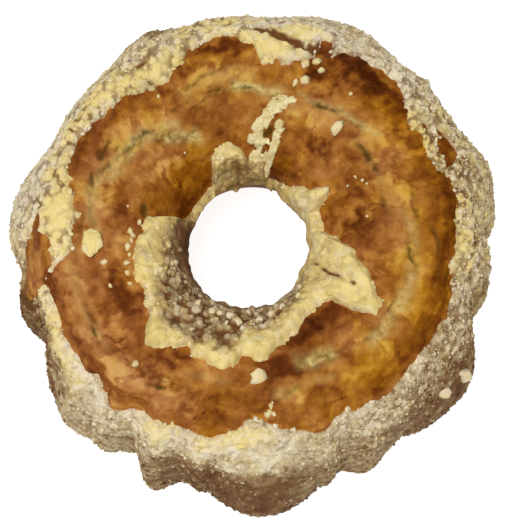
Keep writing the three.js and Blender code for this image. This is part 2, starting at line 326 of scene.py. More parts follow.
# %% [markdown]
# The crust is cake batter that the oven dried and browned: gold where it split open late, amber over most
# of the crown and dark brown towards the coat and the hole, more golden on one side and more reddish on
# another. Fat and sugar give it a faint shine. A painted image could hold these tones. Here how far each
# place is browned and how reddish it is are numbers on the mesh, and two colour ramps turn them into the
# colours of toasting, so that the edges stay crisp at any size. Where the crown cracked open the paler
# crumb shows, straw to olive, with its pores painted dark as painted shade.

# %% Colours of the crust
GOLDEN_TOAST = [(0.0, "#d3a23e"), (0.22, "#b67b1f"), (0.45, "#975c11"), (0.7, "#6f3a09"), (1.0, "#492106")]
ROSY_TOAST = [(0.0, "#d6a363"), (0.22, "#ba7f4a"), (0.45, "#9b5e2f"), (0.7, "#733c1b"), (1.0, "#4b210d")]
OLIVE_CRUMB, STRAW_CRUMB, PORE_SHADE_COLOUR = "#a88c42", "#e4ce8a", "#523c14"
DARK_DAB, PALE_DAB = "#cdb674", "#f6e8b6"
MOTTLE_SIZE, MOTTLE_SHARE = 6, 0.4
SPECK_SIZE, SPECK_SHARE = 1.4, 0.25


def crust_colour(tree, fields, mottle, speck):
    """The colour of the crust: browning, then the open crumb, then streusel that baked on."""
    # Browning, mottled in patches of a few millimetres and grainy below that.
    shade = add_node(tree, "ShaderNodeMath", {0: mottle, 1: MOTTLE_SHARE, 2: fields["toast"]},
                     operation="MULTIPLY_ADD").outputs[0]
    shade = add_node(tree, "ShaderNodeMath", {0: speck, 1: SPECK_SHARE, 2: shade},
                     operation="MULTIPLY_ADD").outputs[0]
    middle = (MOTTLE_SHARE + SPECK_SHARE) / 2
    shade = add_node(tree, "ShaderNodeMath", {0: shade, 1: middle}, operation="SUBTRACT").outputs[0]
    golden = add_node(tree, "ShaderNodeValToRGB", {"Fac": shade}, GOLDEN_TOAST).outputs["Color"]
    rosy = add_node(tree, "ShaderNodeValToRGB", {"Fac": shade}, ROSY_TOAST).outputs["Color"]
    toasted = add_node(tree, "ShaderNodeMix", {
        "Factor": fields["rosy"], 6: golden, 7: rosy,
    }, data_type="RGBA").outputs[2]

    # The open crumb in the cracks, straw to olive, then painted shade in its pores and folds.
    straw = add_node(tree, "ShaderNodeMath", {0: mottle, 1: speck}, operation="ADD").outputs[0]
    straw = add_node(tree, "ShaderNodeMapRange", {
        "Value": straw, "From Min": 0.75, "From Max": 1.2,
    }).outputs[0]
    crumb = add_node(tree, "ShaderNodeMix", {
        "Factor": straw, 6: linear(OLIVE_CRUMB), 7: linear(STRAW_CRUMB),
    }, data_type="RGBA").outputs[2]
    opened = add_node(tree, "ShaderNodeMix", {
        "Factor": fields["crumb"], 6: toasted, 7: crumb,
    }, data_type="RGBA").outputs[2]
    pore_shaded = add_node(tree, "ShaderNodeMix", {
        "Factor": fields["pore_shade"], 6: opened, 7: linear(PORE_SHADE_COLOUR),
    }, data_type="RGBA").outputs[2]

    # Streusel that baked onto the crust, broken up into grains at its edges.
    dab = add_node(tree, "ShaderNodeMix", {
        "Factor": straw, 6: linear(DARK_DAB), 7: linear(PALE_DAB),
    }, data_type="RGBA").outputs[2]
    grain = add_node(tree, "ShaderNodeMath", {0: speck, 1: 0.9, 2: fields["streusel"]},
                     operation="MULTIPLY_ADD").outputs[0]
    grain = add_node(tree, "ShaderNodeMapRange", {
        "Value": grain, "From Min": 0.75, "From Max": 1.1,
    }).outputs[0]
    return add_node(tree, "ShaderNodeMix", {"Factor": grain, 6: pore_shaded, 7: dab}, data_type="RGBA").outputs[2]


print("crust mottled in patches of", MOTTLE_SIZE, "mm with specks of", SPECK_SIZE, "mm")

# %% Oven-browned cake crust
CRUST_BUMP = 1.2

# The IOR is that of fat and sugar. The dried surface scatters most of their shine.
BAKED_IOR, CRUST_SHINE = 1.45, 0.02


def baked_crust():
    material, tree = empty_material("oven_browned_cake_crust")
    place = add_node(tree, "ShaderNodeTexCoord").outputs["Object"]
    fields = {}
    for name in ("toast", "rosy", "crumb", "pore_shade", "streusel"):
        fields[name] = add_node(tree, "ShaderNodeAttribute", attribute_name=name).outputs["Fac"]
    mottle = add_node(tree, "ShaderNodeTexNoise", {
        "Vector": place, "Scale": per_size(MOTTLE_SIZE), "Detail": 4.0, "Roughness": 0.55,
    }).outputs["Fac"]
    speck = add_node(tree, "ShaderNodeTexNoise", {
        "Vector": place, "Scale": per_size(SPECK_SIZE), "Detail": 2.0,
    }).outputs["Fac"]
    colour = crust_colour(tree, fields, mottle, speck)

    # A finish between satin and matt, with a grain that is finer than the mesh.
    rough = add_node(tree, "ShaderNodeMapRange", {
        "Value": mottle, "From Min": 0.3, "From Max": 0.7, "To Min": 0.42, "To Max": 0.62,
    }).outputs[0]
    relief = add_node(tree, "ShaderNodeMath", {0: speck, 1: 0.5, 2: mottle},
                      operation="MULTIPLY_ADD").outputs[0]
    bump = add_node(tree, "ShaderNodeBump", {"Height": relief, "Strength": 0.5, "Distance": CRUST_BUMP * MM})
    shader = add_node(tree, "ShaderNodeBsdfPrincipled", {
        "Base Color": colour, "Roughness": rough, "Normal": bump.outputs[0],
        "IOR": BAKED_IOR, "Specular IOR Level": CRUST_SHINE,
    })
    add_node(tree, "ShaderNodeOutputMaterial", {"Surface": shader.outputs[0]})
    return material


crust_material = baked_crust()
print(crust_material.name, "with", len(crust_material.node_tree.nodes), "nodes")

# %% [markdown]
# The crown cracked in broken lines as the cake rose. The cracks could be sculpted by hand, but a groove
# that is worked out along the section is easily moved, and made deeper where the dough tore. A streak of
# streusel baked onto the far side, from the crown down to the collar.

# %% Cracks, swells and the baked-on streak
CRACK_HALF_WIDTH = 0.055
CRACK_FADE = 7
CRACKS = [
    (118, 166, 2.4, 2.08, 2.6), (84, 120, 2.1, 2.14, 1.8), (4, 74, 2.2, 2.14, 2.2),
    (318, 362, 2.0, 2.08, 1.8), (284, 304, 2.11, 2.08, 2.6), (234, 268, 2.0, 1.98, 1.6),
    (196, 232, 2.0, 1.92, 2.0),
]
SLOW_SWELL, FINE_SWELL = 0.9, 0.5
STREAK_TURNS = [2.17, 2.24, 2.32, 2.39, 2.46, 2.53, 2.62]
STREAK_DIRECTIONS = [72.5, 76, 79.5, 83, 86, 87.5, 87]
STREAK_HALF_WIDTH = 3.9
THREAD_TURNS = [2.38, 2.6, 2.85, 3.02]
THREAD_DIRECTIONS = [73, 75, 77, 77.5]
THREAD_HALF_WIDTH = 2.3
STREAK_DABS = [
    (85, 2.56, 6, 0.035, 0.9), (84.5, 2.73, 7, 0.06, 0.9), (83, 2.64, 6, 0.14, 0.5), (74, 2.42, 3, 0.05, 0.9),
]
STREAK_HEIGHT = 1.2
RIBBON_TAPER = 0.06


def crack_depth(direction, turn, waver):
    """Millimetres by which the cracks cut into the crown."""
    total = np.zeros(np.broadcast(direction, turn).shape)
    for start, end, turn_start, turn_end, depth in CRACKS:
        along = np.clip(between(direction, (start + end) / 2) / (end - start) + 0.5, 0, 1)
        across = (turn - turn_start - (turn_end - turn_start) * along - waver) / CRACK_HALF_WIDTH
        total += depth * span(direction, start, end, CRACK_FADE) * np.exp(-across * across)
    return total


def swells(direction, turn):
    """Slow and finer swells of the dough, in millimetres."""
    a = np.radians(direction)
    slow = SLOW_SWELL * np.sin(5 * a + 9 * turn) * np.sin(3 * a - 5 * turn + 1.3)
    return slow + FINE_SWELL * np.sin(13 * a + 14 * turn + 0.6)


def crust_zone(turn):
    """1 on the open crust, 0 on the wall and in the hole."""
    return smooth((turn - 1.6) / 0.2) * smooth((2.75 - turn) / 0.25)


def ribbon(direction, turn, turns, directions, half_width):
    """A soft line drawn across the ring through its corners."""
    line = np.interp(turn, turns, directions)
    ends = smooth((turn - turns[0]) / RIBBON_TAPER) * smooth((turns[-1] - turn) / RIBBON_TAPER)
    return bell(direction, line, half_width * 2) * ends


def streak(direction, turn):
    """The streak of baked-on streusel: a ribbon, a thread beside it and a few dabs."""
    main = ribbon(direction, turn, STREAK_TURNS, STREAK_DIRECTIONS, STREAK_HALF_WIDTH)
    thread = ribbon(direction, turn, THREAD_TURNS, THREAD_DIRECTIONS, THREAD_HALF_WIDTH)
    return np.maximum(np.maximum(main, thread), patches(direction, turn, STREAK_DABS))


print(len(CRACKS), "cracks, up to", max(row[-1] for row in CRACKS), "mm deep")

# %% [markdown]
# Along the cracks the crust tore into pale fissures and thin folds, which are painted dark as painted shade.
# Both are soft strokes drawn along the ring through a few corners, each a direction and a turn. They are
# kept apart from the cracks because they change the colour as well as the depth.

# %% Fissures and folds
STROKE_TAPER = 4
FISSURES = [
    (0.9, 0.055, [(117, 2.43), (121, 2.41), (126, 2.36), (131, 2.32), (136, 2.28)]),
    (1.0, 0.03, [(118, 2.43), (122, 2.42), (127, 2.36), (132, 2.3)]),
    (0.5, 0.035, [(124, 2.27), (131, 2.23), (138, 2.24), (146, 2.2)]),
    (0.65, 0.035, [(136, 2.2), (143, 2.17), (150, 2.16), (158, 2.12)]),
    (0.4, 0.04, [(146, 2.2), (152, 2.18), (158, 2.16), (164, 2.1)]),
    (0.6, 0.028, [(152, 2.15), (160, 2.09), (168, 2.05), (177, 2.07), (184, 2.12)]),
    (0.18, 0.05, [(88, 2.1), (96, 2.08), (104, 2.07), (112, 2.11), (119, 2.16)]),
    (0.7, 0.035, [(76, 2.19), (84, 2.2), (91, 2.17), (98, 2.15)]),
    (0.5, 0.022, [(51, 2.14), (58, 2.17), (64, 2.18), (71, 2.15)]),
    (0.6, 0.022, [(35, 2.08), (42, 2.12), (48, 2.13), (55, 2.12)]),
    (0.15, 0.025, [(2, 2.12), (14, 2.19), (24, 2.22), (34, 2.22), (41, 2.19)]),
    (0.55, 0.035, [(312, 2.01), (326, 2.01), (336, 2.02), (346, 2.03)]),
    (0.35, 0.03, [(346, 2.03), (356, 2.06), (364, 2.1)]),
    (1.0, 0.045, [(287, 2.13), (292, 2.12), (297, 2.12), (302, 2.1)]),
    (0.15, 0.022, [(248, 2.03), (256, 2.05), (264, 2.04)]),
    (0.12, 0.03, [(192, 1.94), (200, 1.94), (208, 1.9), (216, 1.88), (224, 1.9)]),
    (0.25, 0.02, [(277, 1.97), (286, 1.99), (298, 1.98)]),
    (0.3, 0.03, [(66, 2.3), (70, 2.27), (74, 2.22)]),
]
# Folds: shallow grooves, painted dark along them as painted shade.
FOLDS = [
    (0.9, 0.012, [(127, 2.34), (132, 2.31), (138, 2.28)]),
    (1.0, 0.014, [(135, 2.21), (141, 2.18), (147, 2.14)]),
    (0.9, 0.013, [(161, 2.02), (166, 2.035), (170, 2.03)]),
    (1.0, 0.014, [(53, 2.15), (58, 2.18), (64, 2.19)]),
    (0.9, 0.012, [(23, 2.21), (30, 2.22), (38, 2.22)]),
    (0.5, 0.009, [(299, 2.12), (308, 2.07), (316, 2.02)]),
    (0.6, 0.008, [(316, 2.03), (323, 2.05), (332, 2.06)]),
    (0.7, 0.012, [(343, 1.86), (350, 1.9), (358, 1.96)]),
    (0.6, 0.012, [(204, 1.93), (210, 1.94), (216, 1.92)]),
    (1.0, 0.014, [(214, 1.89), (217, 1.885), (220, 1.88)]),
    (0.9, 0.012, [(238, 1.87), (241, 1.88), (244, 1.89)]),
    (0.7, 0.009, [(280, 1.985), (284, 1.99), (287, 1.99)]),
    (1.0, 0.024, [(166, 2.39), (170, 2.41), (175, 2.43)]),
    (0.45, 0.008, [(227, 1.93), (236, 1.925), (247, 1.96)]),
    (0.45, 0.008, [(230, 1.62), (238, 1.66), (245, 1.7)]),
    (0.5, 0.009, [(115, 2.16), (122, 2.19), (128, 2.2)]),
    (0.5, 0.008, [(94, 2.17), (106, 2.2), (118, 2.23)]),
    (1.0, 0.045, [(78, 2.46), (81, 2.49), (84, 2.53)]),
    (1.0, 0.03, [(79, 2.63), (83, 2.64), (88, 2.62)]),
    (0.7, 0.014, [(343, 1.73), (346, 1.76), (349, 1.77)]),
    (1.0, 0.024, [(288, 2.13), (290, 2.13), (291, 2.12)]),
    (1.0, 0.022, [(293, 2.08), (294, 2.08), (296, 2.08)]),
    (1.0, 0.024, [(294, 2.13), (295.5, 2.13), (297, 2.12)]),
    (0.9, 0.016, [(298, 2.1), (299.5, 2.1), (301, 2.1)]),
    (0.5, 0.01, [(0, 2.03), (8, 2.05), (16, 2.04)]),
    (0.4, 0.01, [(178, 2.03), (186, 2.0), (193, 1.97)]),
    (0.7, 0.011, [(100, 2.04), (106, 2.05), (112, 2.08)]),
    (0.7, 0.013, [(96, 2.13), (103, 2.16), (110, 2.17)]),
    (0.6, 0.012, [(0, 2.2), (8, 2.23), (15, 2.23)]),
    (0.6, 0.012, [(41, 2.12), (45, 2.15), (50, 2.16)]),
    (0.7, 0.014, [(119, 2.39), (122, 2.37), (126, 2.33)]),
    (0.6, 0.012, [(155, 2.1), (159, 2.08), (163, 2.05)]),
    (0.8, 0.012, [(141, 2.2), (145, 2.175), (149, 2.165)]),
    (0.7, 0.011, [(147, 2.12), (151, 2.1), (155, 2.07)]),
    (0.9, 0.012, [(149, 2.04), (154, 2.04), (158, 2.04)]),
    (0.8, 0.011, [(110, 2.08), (114, 2.09), (118, 2.11)]),
    (0.9, 0.012, [(344, 2.0), (348, 2.06), (353, 2.1)]),
    (0.8, 0.011, [(86, 2.22), (89, 2.19), (95, 2.17)]),
]
FOLD_DEPTH = 0.9
FISSURE_DEPTH = 0.7


def stroke(direction, turn, corners, half_width):
    """A soft line along the ring through its corners: 1 on it, 0 beyond its width and its ends."""
    at, middle = np.array(corners, float).T
    along = at[0] + between(direction, at[0])
    ends = smooth((along - at[0]) / STROKE_TAPER + 0.4) * smooth((at[-1] - along) / STROKE_TAPER + 0.4)
    across = (turn - np.interp(along, at, middle)) / half_width
    return ends * np.exp(-across * across)


def strokes(direction, turn, rows, widening):
    """The strongest of several strokes at each place, drawn `widening` times as wide as given."""
    total = np.zeros(np.broadcast(direction, turn).shape)
    for strength, half_width, corners in rows:
        total = np.maximum(total, strength * stroke(direction, turn, corners, half_width * widening))
    return total


print(len(FISSURES), "fissures and", len(FOLDS), "folds")

# %% [markdown]
# The crust browned unevenly: dark towards the coat, round the hole and beside the cracks, golden where it
# tore late, and reddish where it baked slowly. These patches are soft spots that lie where the real ones
# do. The crust's relief is the dough's slow swells and cracks with lumps of three sizes on them.

# %% Browned, golden and reddish patches
BROWNED = [
    (52, 1.84, 17, 0.11, 0.74), (65, 2.03, 5, 0.07, 0.65), (101, 1.89, 12, 0.06, 0.6),
    (8, 1.8, 12, 0.08, 0.36), (2, 2.43, 6, 0.08, 0.5), (22, 2.42, 10, 0.14, 0.16), (50, 2.6, 22, 0.2, 0.08),
    (72, 2.88, 8, 0.16, 0.36), (300, 2.34, 16, 0.1, 0.5), (282, 2.13, 8, 0.08, 0.5),
    (353, 2.45, 8, 0.14, 0.16), (315, 1.7, 34, 0.06, 0.22), (258, 1.78, 12, 0.1, 0.3),
    (244, 1.95, 20, 0.025, 0.3), (212, 2.15, 16, 0.1, 0.58), (240, 2.07, 14, 0.06, 0.42),
    (200, 1.68, 16, 0.1, 0.24), (150, 2.78, 30, 0.14, 0.36), (109, 2.48, 6, 0.05, 0.12),
    (140, 1.98, 20, 0.05, 0.26), (158, 1.9, 9, 0.05, 0.36), (168, 2.25, 8, 0.05, 0.32),
    (106, 2.28, 16, 0.06, 0.08), (338, 2.19, 7, 0.07, 0.3), (335, 1.78, 14, 0.06, 0.14),
    (294, 1.93, 5, 0.06, 0.36), (127, 2.07, 7, 0.05, 0.3), (226, 1.64, 14, 0.05, 0.2),
    (22, 1.67, 8, 0.1, 0.3), (77, 1.83, 8, 0.06, 0.4), (25, 2.3, 9, 0.04, 0.22), (48, 2.42, 10, 0.05, 0.22),
    (20, 1.94, 14, 0.04, 0.16), (349, 1.86, 7, 0.06, 0.26), (10, 2.63, 5, 0.06, 0.3),
    (18, 2.4, 4, 0.05, 0.22), (270, 1.94, 6, 0.05, 0.14), (108, 2.35, 5, 0.04, 0.06),
    (140, 2.57, 6, 0.06, 0.18), (129, 2.57, 5, 0.06, 0.12),
]
GOLDEN = [
    (214, 1.84, 10, 0.07, -0.2), (238, 1.81, 15, 0.1, -0.34), (283, 1.93, 4, 0.04, -0.28),
    (308, 1.93, 10, 0.06, -0.24), (346, 2.12, 12, 0.05, -0.1), (12, 2.08, 18, 0.07, -0.14),
    (40, 2.12, 12, 0.06, -0.12), (104, 2.07, 14, 0.06, -0.36), (62, 2.28, 8, 0.05, -0.14),
    (132, 2.3, 14, 0.08, -0.1), (186, 2.13, 10, 0.07, -0.18), (326, 2.03, 18, 0.05, -0.18),
    (340, 1.94, 12, 0.05, -0.12), (152, 2.4, 14, 0.1, -0.14), (71, 2.32, 5, 0.06, -0.3),
    (160, 2.12, 15, 0.11, -0.26), (126, 2.52, 8, 0.05, -0.06), (92, 2.17, 8, 0.04, -0.2),
    (230, 1.72, 10, 0.05, -0.08), (30, 1.98, 8, 0.04, -0.1), (11, 2.45, 3.5, 0.05, -0.1),
    (100, 2.43, 3, 0.06, -0.14), (141, 2.32, 5, 0.04, -0.2),
]
ROSY = [
    (215, 1.95, 40, 0.5, 0.45), (10, 2.4, 35, 0.18, 0.32), (55, 2.2, 20, 0.2, 0.2),
    (285, 2.3, 20, 0.15, 0.25), (150, 2.05, 22, 0.15, 0.15), (150, 2.7, 30, 0.25, -0.6),
    (335, 1.8, 35, 0.16, -0.5), (62, 2.7, 12, 0.15, -0.4), (100, 2.5, 10, 0.08, -0.3),
    (265, 1.98, 10, 0.1, -0.15), (2, 1.92, 30, 0.14, -0.4), (105, 2.1, 16, 0.12, -0.3),
    (308, 1.92, 16, 0.12, -0.3), (40, 1.95, 14, 0.1, -0.25), (152, 2.4, 8, 0.08, 0.3),
]

# Lumps of the crust: height and size in millimetres, octaves and seed of the noise.
CRUST_LUMPS = [(1.1, 15, 3, 4), (0.85, 6, 2, 25), (0.32, 3, 2, 5)]
CRACK_WAVER = 0.012


def crust_height(direction, turn):
    """Millimetres by which the baked crust stands above the plain section: swells, cracks and lumps."""
    base = surface(direction, turn, 0)
    waver = CRACK_WAVER * soft_noise(base, 9, 2, 1)
    shown = smooth((turn - 1.0) / 0.2) * smooth((3.3 - turn) / 0.3)
    lumps = sum(high * soft_noise(base, *layer) for high, *layer in CRUST_LUMPS)
    return (swells(direction, turn) - crack_depth(direction, turn, waver)) * crust_zone(turn) + lumps * shown


print(len(BROWNED), "browned,", len(GOLDEN), "golden and", len(ROSY), "reddish patches")

# %% [markdown]
# The crust's mesh is a fine grid, with points about a millimetre apart over the crown and shoulder, where
# the eye reads them, and wider apart on the wall under the coat and in the bore. The crown stretched while
# it rose, so its marks run along the ring: part of the noise is worked out on a ring squeezed to a third of
# its length. The dried surface also broke into plates, each a little lighter or darker than the next, and
# some of their seams cracked, with painted shade in the cracks.

# %% The crust's grid, its torn places and its plates
CAKE_DIRECTIONS = 670
CAKE_TURNS = np.concatenate([
    np.linspace(0, 1, 12, endpoint=False),
    np.linspace(1, 2.95, 124, endpoint=False),
    np.linspace(2.95, 4, 12),
])
SQUEEZED_RADIUS = 26.0
TURN_LENGTH = 62.0
FOLD_WIDENING = 1.2
PLATE_SIZE, PLATE_BEND = 8, 3.0
cake_around = np.arange(CAKE_DIRECTIONS) * 360 / CAKE_DIRECTIONS
direction, turn = np.meshgrid(cake_around, CAKE_TURNS, indexing="ij")
angle = np.radians(direction)
base = surface(direction, turn, 0)
squeezed = [SQUEEZED_RADIUS * np.cos(angle), SQUEEZED_RADIUS * np.sin(angle), TURN_LENGTH * turn]
squeezed = np.stack(squeezed, -1)
halfway = 0.5 * (squeezed + base)
waver = 0.016 * soft_noise(base, 9, 2, 1) + CRACK_WAVER * soft_noise(base, 3, 1, 2)
torn_noise = soft_noise(squeezed, 2.4, 2, 3)
torn = strokes(direction, turn + waver, FISSURES, 1.0)
torn = np.clip(torn * (1.0 + 0.6 * torn_noise + 0.4 * soft_noise(base, 3, 2, 27)), 0, 1)
folds = strokes(direction, turn + waver, FOLDS, FOLD_WIDENING)
folds = np.clip(folds * (0.85 + 1.2 * soft_noise(halfway, 2.2, 2, 19)), 0, 0.9)
# Painted shade in the folds and in the darker parts of the fissures.
pores_and_shade = np.maximum(folds, 0.8 * torn * smooth((-torn_noise - 0.12) / 0.3))
streak_edge = 0.9 * soft_noise(base, 3.5, 3, 21)
baked_streusel = smooth((streak(direction, turn) * (1 + streak_edge) - 0.3) / 0.3)
bent = np.stack([soft_noise(base, 6, 3, seed) for seed in (34, 35, 36)], -1)
plate_tone, seam = plate_noise(halfway + PLATE_BEND * bent, PLATE_SIZE, 1)
creases = seam * crust_zone(turn)
cracked = creases * smooth((soft_noise(base, 11, 2, 44) - 0.02) / 0.18)
print("crust grid", direction.shape, "with", round(float(torn.mean()) * 100, 1), "% torn open")

# %% Relief of the crust
CREASE_DEPTH, CRACKED_DEPTH = 0.25, 0.3
crust_relief = crust_height(direction, turn) - CREASE_DEPTH * creases - CRACKED_DEPTH * cracked
torn_relief = torn * (0.9 * soft_noise(base, 2.4, 2, 18) - FISSURE_DEPTH)
crust_relief += torn_relief - FOLD_DEPTH * pores_and_shade * crust_zone(turn)
crust_relief += baked_streusel * (STREAK_HEIGHT + 0.9 * soft_noise(base, 2.2, 2, 22))

# Both edges of the base stay where the solid has them.
crust_relief[:, 0] = 0
crust_relief[:, -1] = 0
crust_grid = surface(direction, turn, crust_relief)
crust_normals = grid_normals(crust_grid)
print("crust relief from", crust_relief.min().round(1), "to", crust_relief.max().round(1), "mm")

# %% [markdown]
# Browning adds up: an even amber, paler along the crest and beside the fissures, then the patches, then
# mottling. The darkest places are dried smooth, so their mottling is weaker. The wall that lay against the
# tin is brown.

# %% Browning of the crust
CREST_TURN, CREST_HALF_WIDTH = 2.1, 0.14
PLAIN_TOAST, CREST_PALER, FISSURE_PALER, CREASE_PALER = 0.4, 0.06, 0.15, 0.04
BEND_DIRECTION, BEND_TURN = 8, 0.09
DARK_CALM, FULLY_DARK = 0.6, 0.6
PLAIN_ROSY = 0.45
crest = np.exp(-(((turn - CREST_TURN) / CREST_HALF_WIDTH) ** 2))
beside_fissures = strokes(direction, turn + waver, FISSURES, 2.0)
toast = PLAIN_TOAST - CREST_PALER * crest - FISSURE_PALER * beside_fissures - CREASE_PALER * creases
bent_direction = direction + BEND_DIRECTION * bent[..., 0]
bent_turn = turn + BEND_TURN * bent[..., 1]
browned = patches(bent_direction, bent_turn, BROWNED)
# Painted shade: the crust is darker along the cracked seams.
mottled = 0.06 * soft_noise(base, 17, 2, 6) + 0.2 * (plate_tone - 0.5) + 0.15 * cracked
mottled -= 0.09 * smooth((0.28 - plate_tone) / 0.16)
mottled += 0.13 * soft_noise(base, 5, 3, 24) + 0.12 * soft_noise(squeezed, 3, 3, 38)
mottled = mottled * (1 - DARK_CALM * np.clip(browned / FULLY_DARK, 0, 1))
toast += browned * (0.93 + 0.14 * plate_tone) + mottled
toast += patches(bent_direction, bent_turn, GOLDEN) * (1.15 - 0.3 * plate_tone)
toast += 0.1 * smooth((turn - 2.95) / 0.15) + 0.35 * smooth((0.8 - turn) / 0.4)
rosy = PLAIN_ROSY + patches(bent_direction, bent_turn, ROSY) + 0.4 * soft_noise(base, 14, 3, 41)
rosy = np.clip(rosy + 0.25 * (plate_tone - 0.5), 0, 1)
open_pore_shade = pores_and_shade * (1 - 0.5 * baked_streusel)
crust_fields = {"toast": toast, "rosy": rosy, "crumb": torn, "pore_shade": open_pore_shade, "streusel": baked_streusel}
crust = mesh_piece("cake_crust", crust_grid, ring_faces(*direction.shape), crust_fields, crust_material)
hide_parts("cake_ring")

# %% [markdown]
# Streusel is butter, sugar and flour rubbed to crumbs. It is matt and pale, yellow where it lies thick and
# warm, grey beige where it is thin and dusty. On the wall it only dusts the brown cake that lay against the
# tin, in patterns that stand upright as the tin left them. Two materials would meet in a seam, so one runs
# from brown to pale: a number on the mesh says how well streusel covers the place, and also carries painted
# shade in the valleys of the flutes, down the inside of the collar's ridge and on the left of the hole;
# each crumb adds a tone of its own, less so low on the wall, and two ramps give the colours.

# %% Grains, clouds and crumbs of streusel
CRUMB_SIZE, CRUMB_RAGGED = 3.2, 1.6
CLOUD_SIZE, CLOUD_STREAK = 7, 0.5

# Grains of sugar and flour are finer than this, and are drawn coarser so that they show.
GRAIN_SIZE = 1.6


def streusel_patterns(tree):
    """Height, grains, clouds and crumbs as sockets, drawn upright on the wall like the grains of the mesh."""
    place = add_node(tree, "ShaderNodeTexCoord").outputs["Object"]
    across, along, height = add_node(tree, "ShaderNodeSeparateXYZ", {0: place}).outputs
    above = add_node(tree, "ShaderNodeMath", {0: height, 1: WALL_TOP * MM}, operation="SUBTRACT").outputs[0]
    above = add_node(tree, "ShaderNodeMath", {0: above, 1: 0.0}, operation="MAXIMUM").outputs[0]
    above = add_node(tree, "ShaderNodeMath", {0: above, 1: 1 - WALL_STREAK}, operation="MULTIPLY").outputs[0]
    pressed = add_node(tree, "ShaderNodeMath", {0: height, 1: WALL_STREAK, 2: above},
                       operation="MULTIPLY_ADD").outputs[0]
    upright = add_node(tree, "ShaderNodeCombineXYZ", {0: across, 1: along, 2: pressed}).outputs[0]
    flatter = add_node(tree, "ShaderNodeMath", {0: pressed, 1: CLOUD_STREAK}, operation="MULTIPLY").outputs[0]
    longer = add_node(tree, "ShaderNodeCombineXYZ", {0: across, 1: along, 2: flatter}).outputs[0]
    grains = add_node(tree, "ShaderNodeTexNoise", {
        "Vector": upright, "Scale": per_size(GRAIN_SIZE), "Detail": 2.0, "Roughness": 0.6,
    }).outputs
    clouds = add_node(tree, "ShaderNodeTexNoise", {
        "Vector": longer, "Scale": per_size(CLOUD_SIZE), "Detail": 3.0,
    }).outputs["Fac"]

    # Crumbs of uneven outline.
    ragged = add_node(tree, "ShaderNodeVectorMath", {
        0: grains["Color"], 1: (CRUMB_RAGGED * MM,) * 3, 2: upright,
    }, operation="MULTIPLY_ADD").outputs[0]
    cells = add_node(tree, "ShaderNodeTexVoronoi", {"Vector": ragged, "Scale": per_size(CRUMB_SIZE)}).outputs
    return height, grains, clouds, cells


print("crumbs", CRUMB_SIZE, "mm, grains", GRAIN_SIZE, "mm and clouds", CLOUD_SIZE, "mm across")

# %% Tone of streusel
CRUMB_TONE, GRAIN_SHARE, CLOUD_SHARE = 0.3, 0.5, 0.35
CALM_BELOW, LIVELY_ABOVE = 45, 85
COVER_LIFT = 0.075


def streusel_tone(tree, cover_and_shade, height, grains, clouds, own, distance):
    """How pale streusel is, by its cover and painted shade, by each crumb's own tone, by grains and by
    clouds.
    """
    uneven = add_node(tree, "ShaderNodeMath", {0: own, 1: CRUMB_TONE, 2: -(CRUMB_TONE + GRAIN_SHARE) / 2},
                      operation="MULTIPLY_ADD").outputs[0]
    uneven = add_node(tree, "ShaderNodeMath", {0: grains, 1: GRAIN_SHARE, 2: uneven},
                      operation="MULTIPLY_ADD").outputs[0]
    lively = add_node(tree, "ShaderNodeMapRange", {
        "Value": height, "From Min": CALM_BELOW * MM, "From Max": LIVELY_ABOVE * MM,
        "To Min": 0.6, "To Max": 1.0,
    }).outputs[0]
    cloudy = add_node(tree, "ShaderNodeMath", {0: clouds, 1: CLOUD_SHARE, 2: -CLOUD_SHARE / 2},
                      operation="MULTIPLY_ADD").outputs[0]
    uneven = add_node(tree, "ShaderNodeMath", {0: uneven, 1: lively, 2: cloudy},
                      operation="MULTIPLY_ADD").outputs[0]
    contrast = add_node(tree, "ShaderNodeMapRange", {
        "Value": cover_and_shade, "From Min": 0.05, "From Max": 0.55, "To Min": 0.4, "To Max": 1.0,
    }).outputs[0]
    tone = add_node(tree, "ShaderNodeMath", {0: cover_and_shade, 1: COVER_LIFT}, operation="ADD").outputs[0]
    tone = add_node(tree, "ShaderNodeMath", {0: uneven, 1: contrast, 2: tone},
                    operation="MULTIPLY_ADD").outputs[0]

    # Single crumbs that stand out paler, less so where streusel is thin and low on the wall.
    single = add_node(tree, "ShaderNodeMapRange", {
        "Value": distance, "From Min": 0.45, "From Max": 0.2,
    }).outputs[0]
    chosen = add_node(tree, "ShaderNodeMapRange", {
        "Value": own, "From Min": 0.72, "From Max": 0.85,
    }).outputs[0]
    for share in (chosen, contrast, lively):
        single = add_node(tree, "ShaderNodeMath", {0: single, 1: share}, operation="MULTIPLY").outputs[0]
    tone = add_node(tree, "ShaderNodeMath", {0: single, 1: 0.3, 2: tone}, operation="MULTIPLY_ADD").outputs[0]
    return tone


print("tones are calmer below", CALM_BELOW, "mm and lively above", LIVELY_ABOVE, "mm")

# %% Rubbed streusel
DUSTY = [
    (0.0, "#5e3f27"), (0.2, "#7b593c"), (0.4, "#9b7f5d"), (0.6, "#bba783"), (0.8, "#d6c5a2"),
    (1.0, "#ecdfc2"),
]
CREAMY = [(0.0, "#77592f"), (0.3, "#a68c55"), (0.55, "#ccb070"), (0.8, "#e2c97c"), (1.0, "#f1da90")]
# Brown cake between the crumbs, with painted shade in the gaps.
BROWN_GAP_AND_SHADE = "#764c2a"
STREUSEL_ROUGHNESS, STREUSEL_SHINE, STREUSEL_BUMP = 0.85, 0.03, 0.6


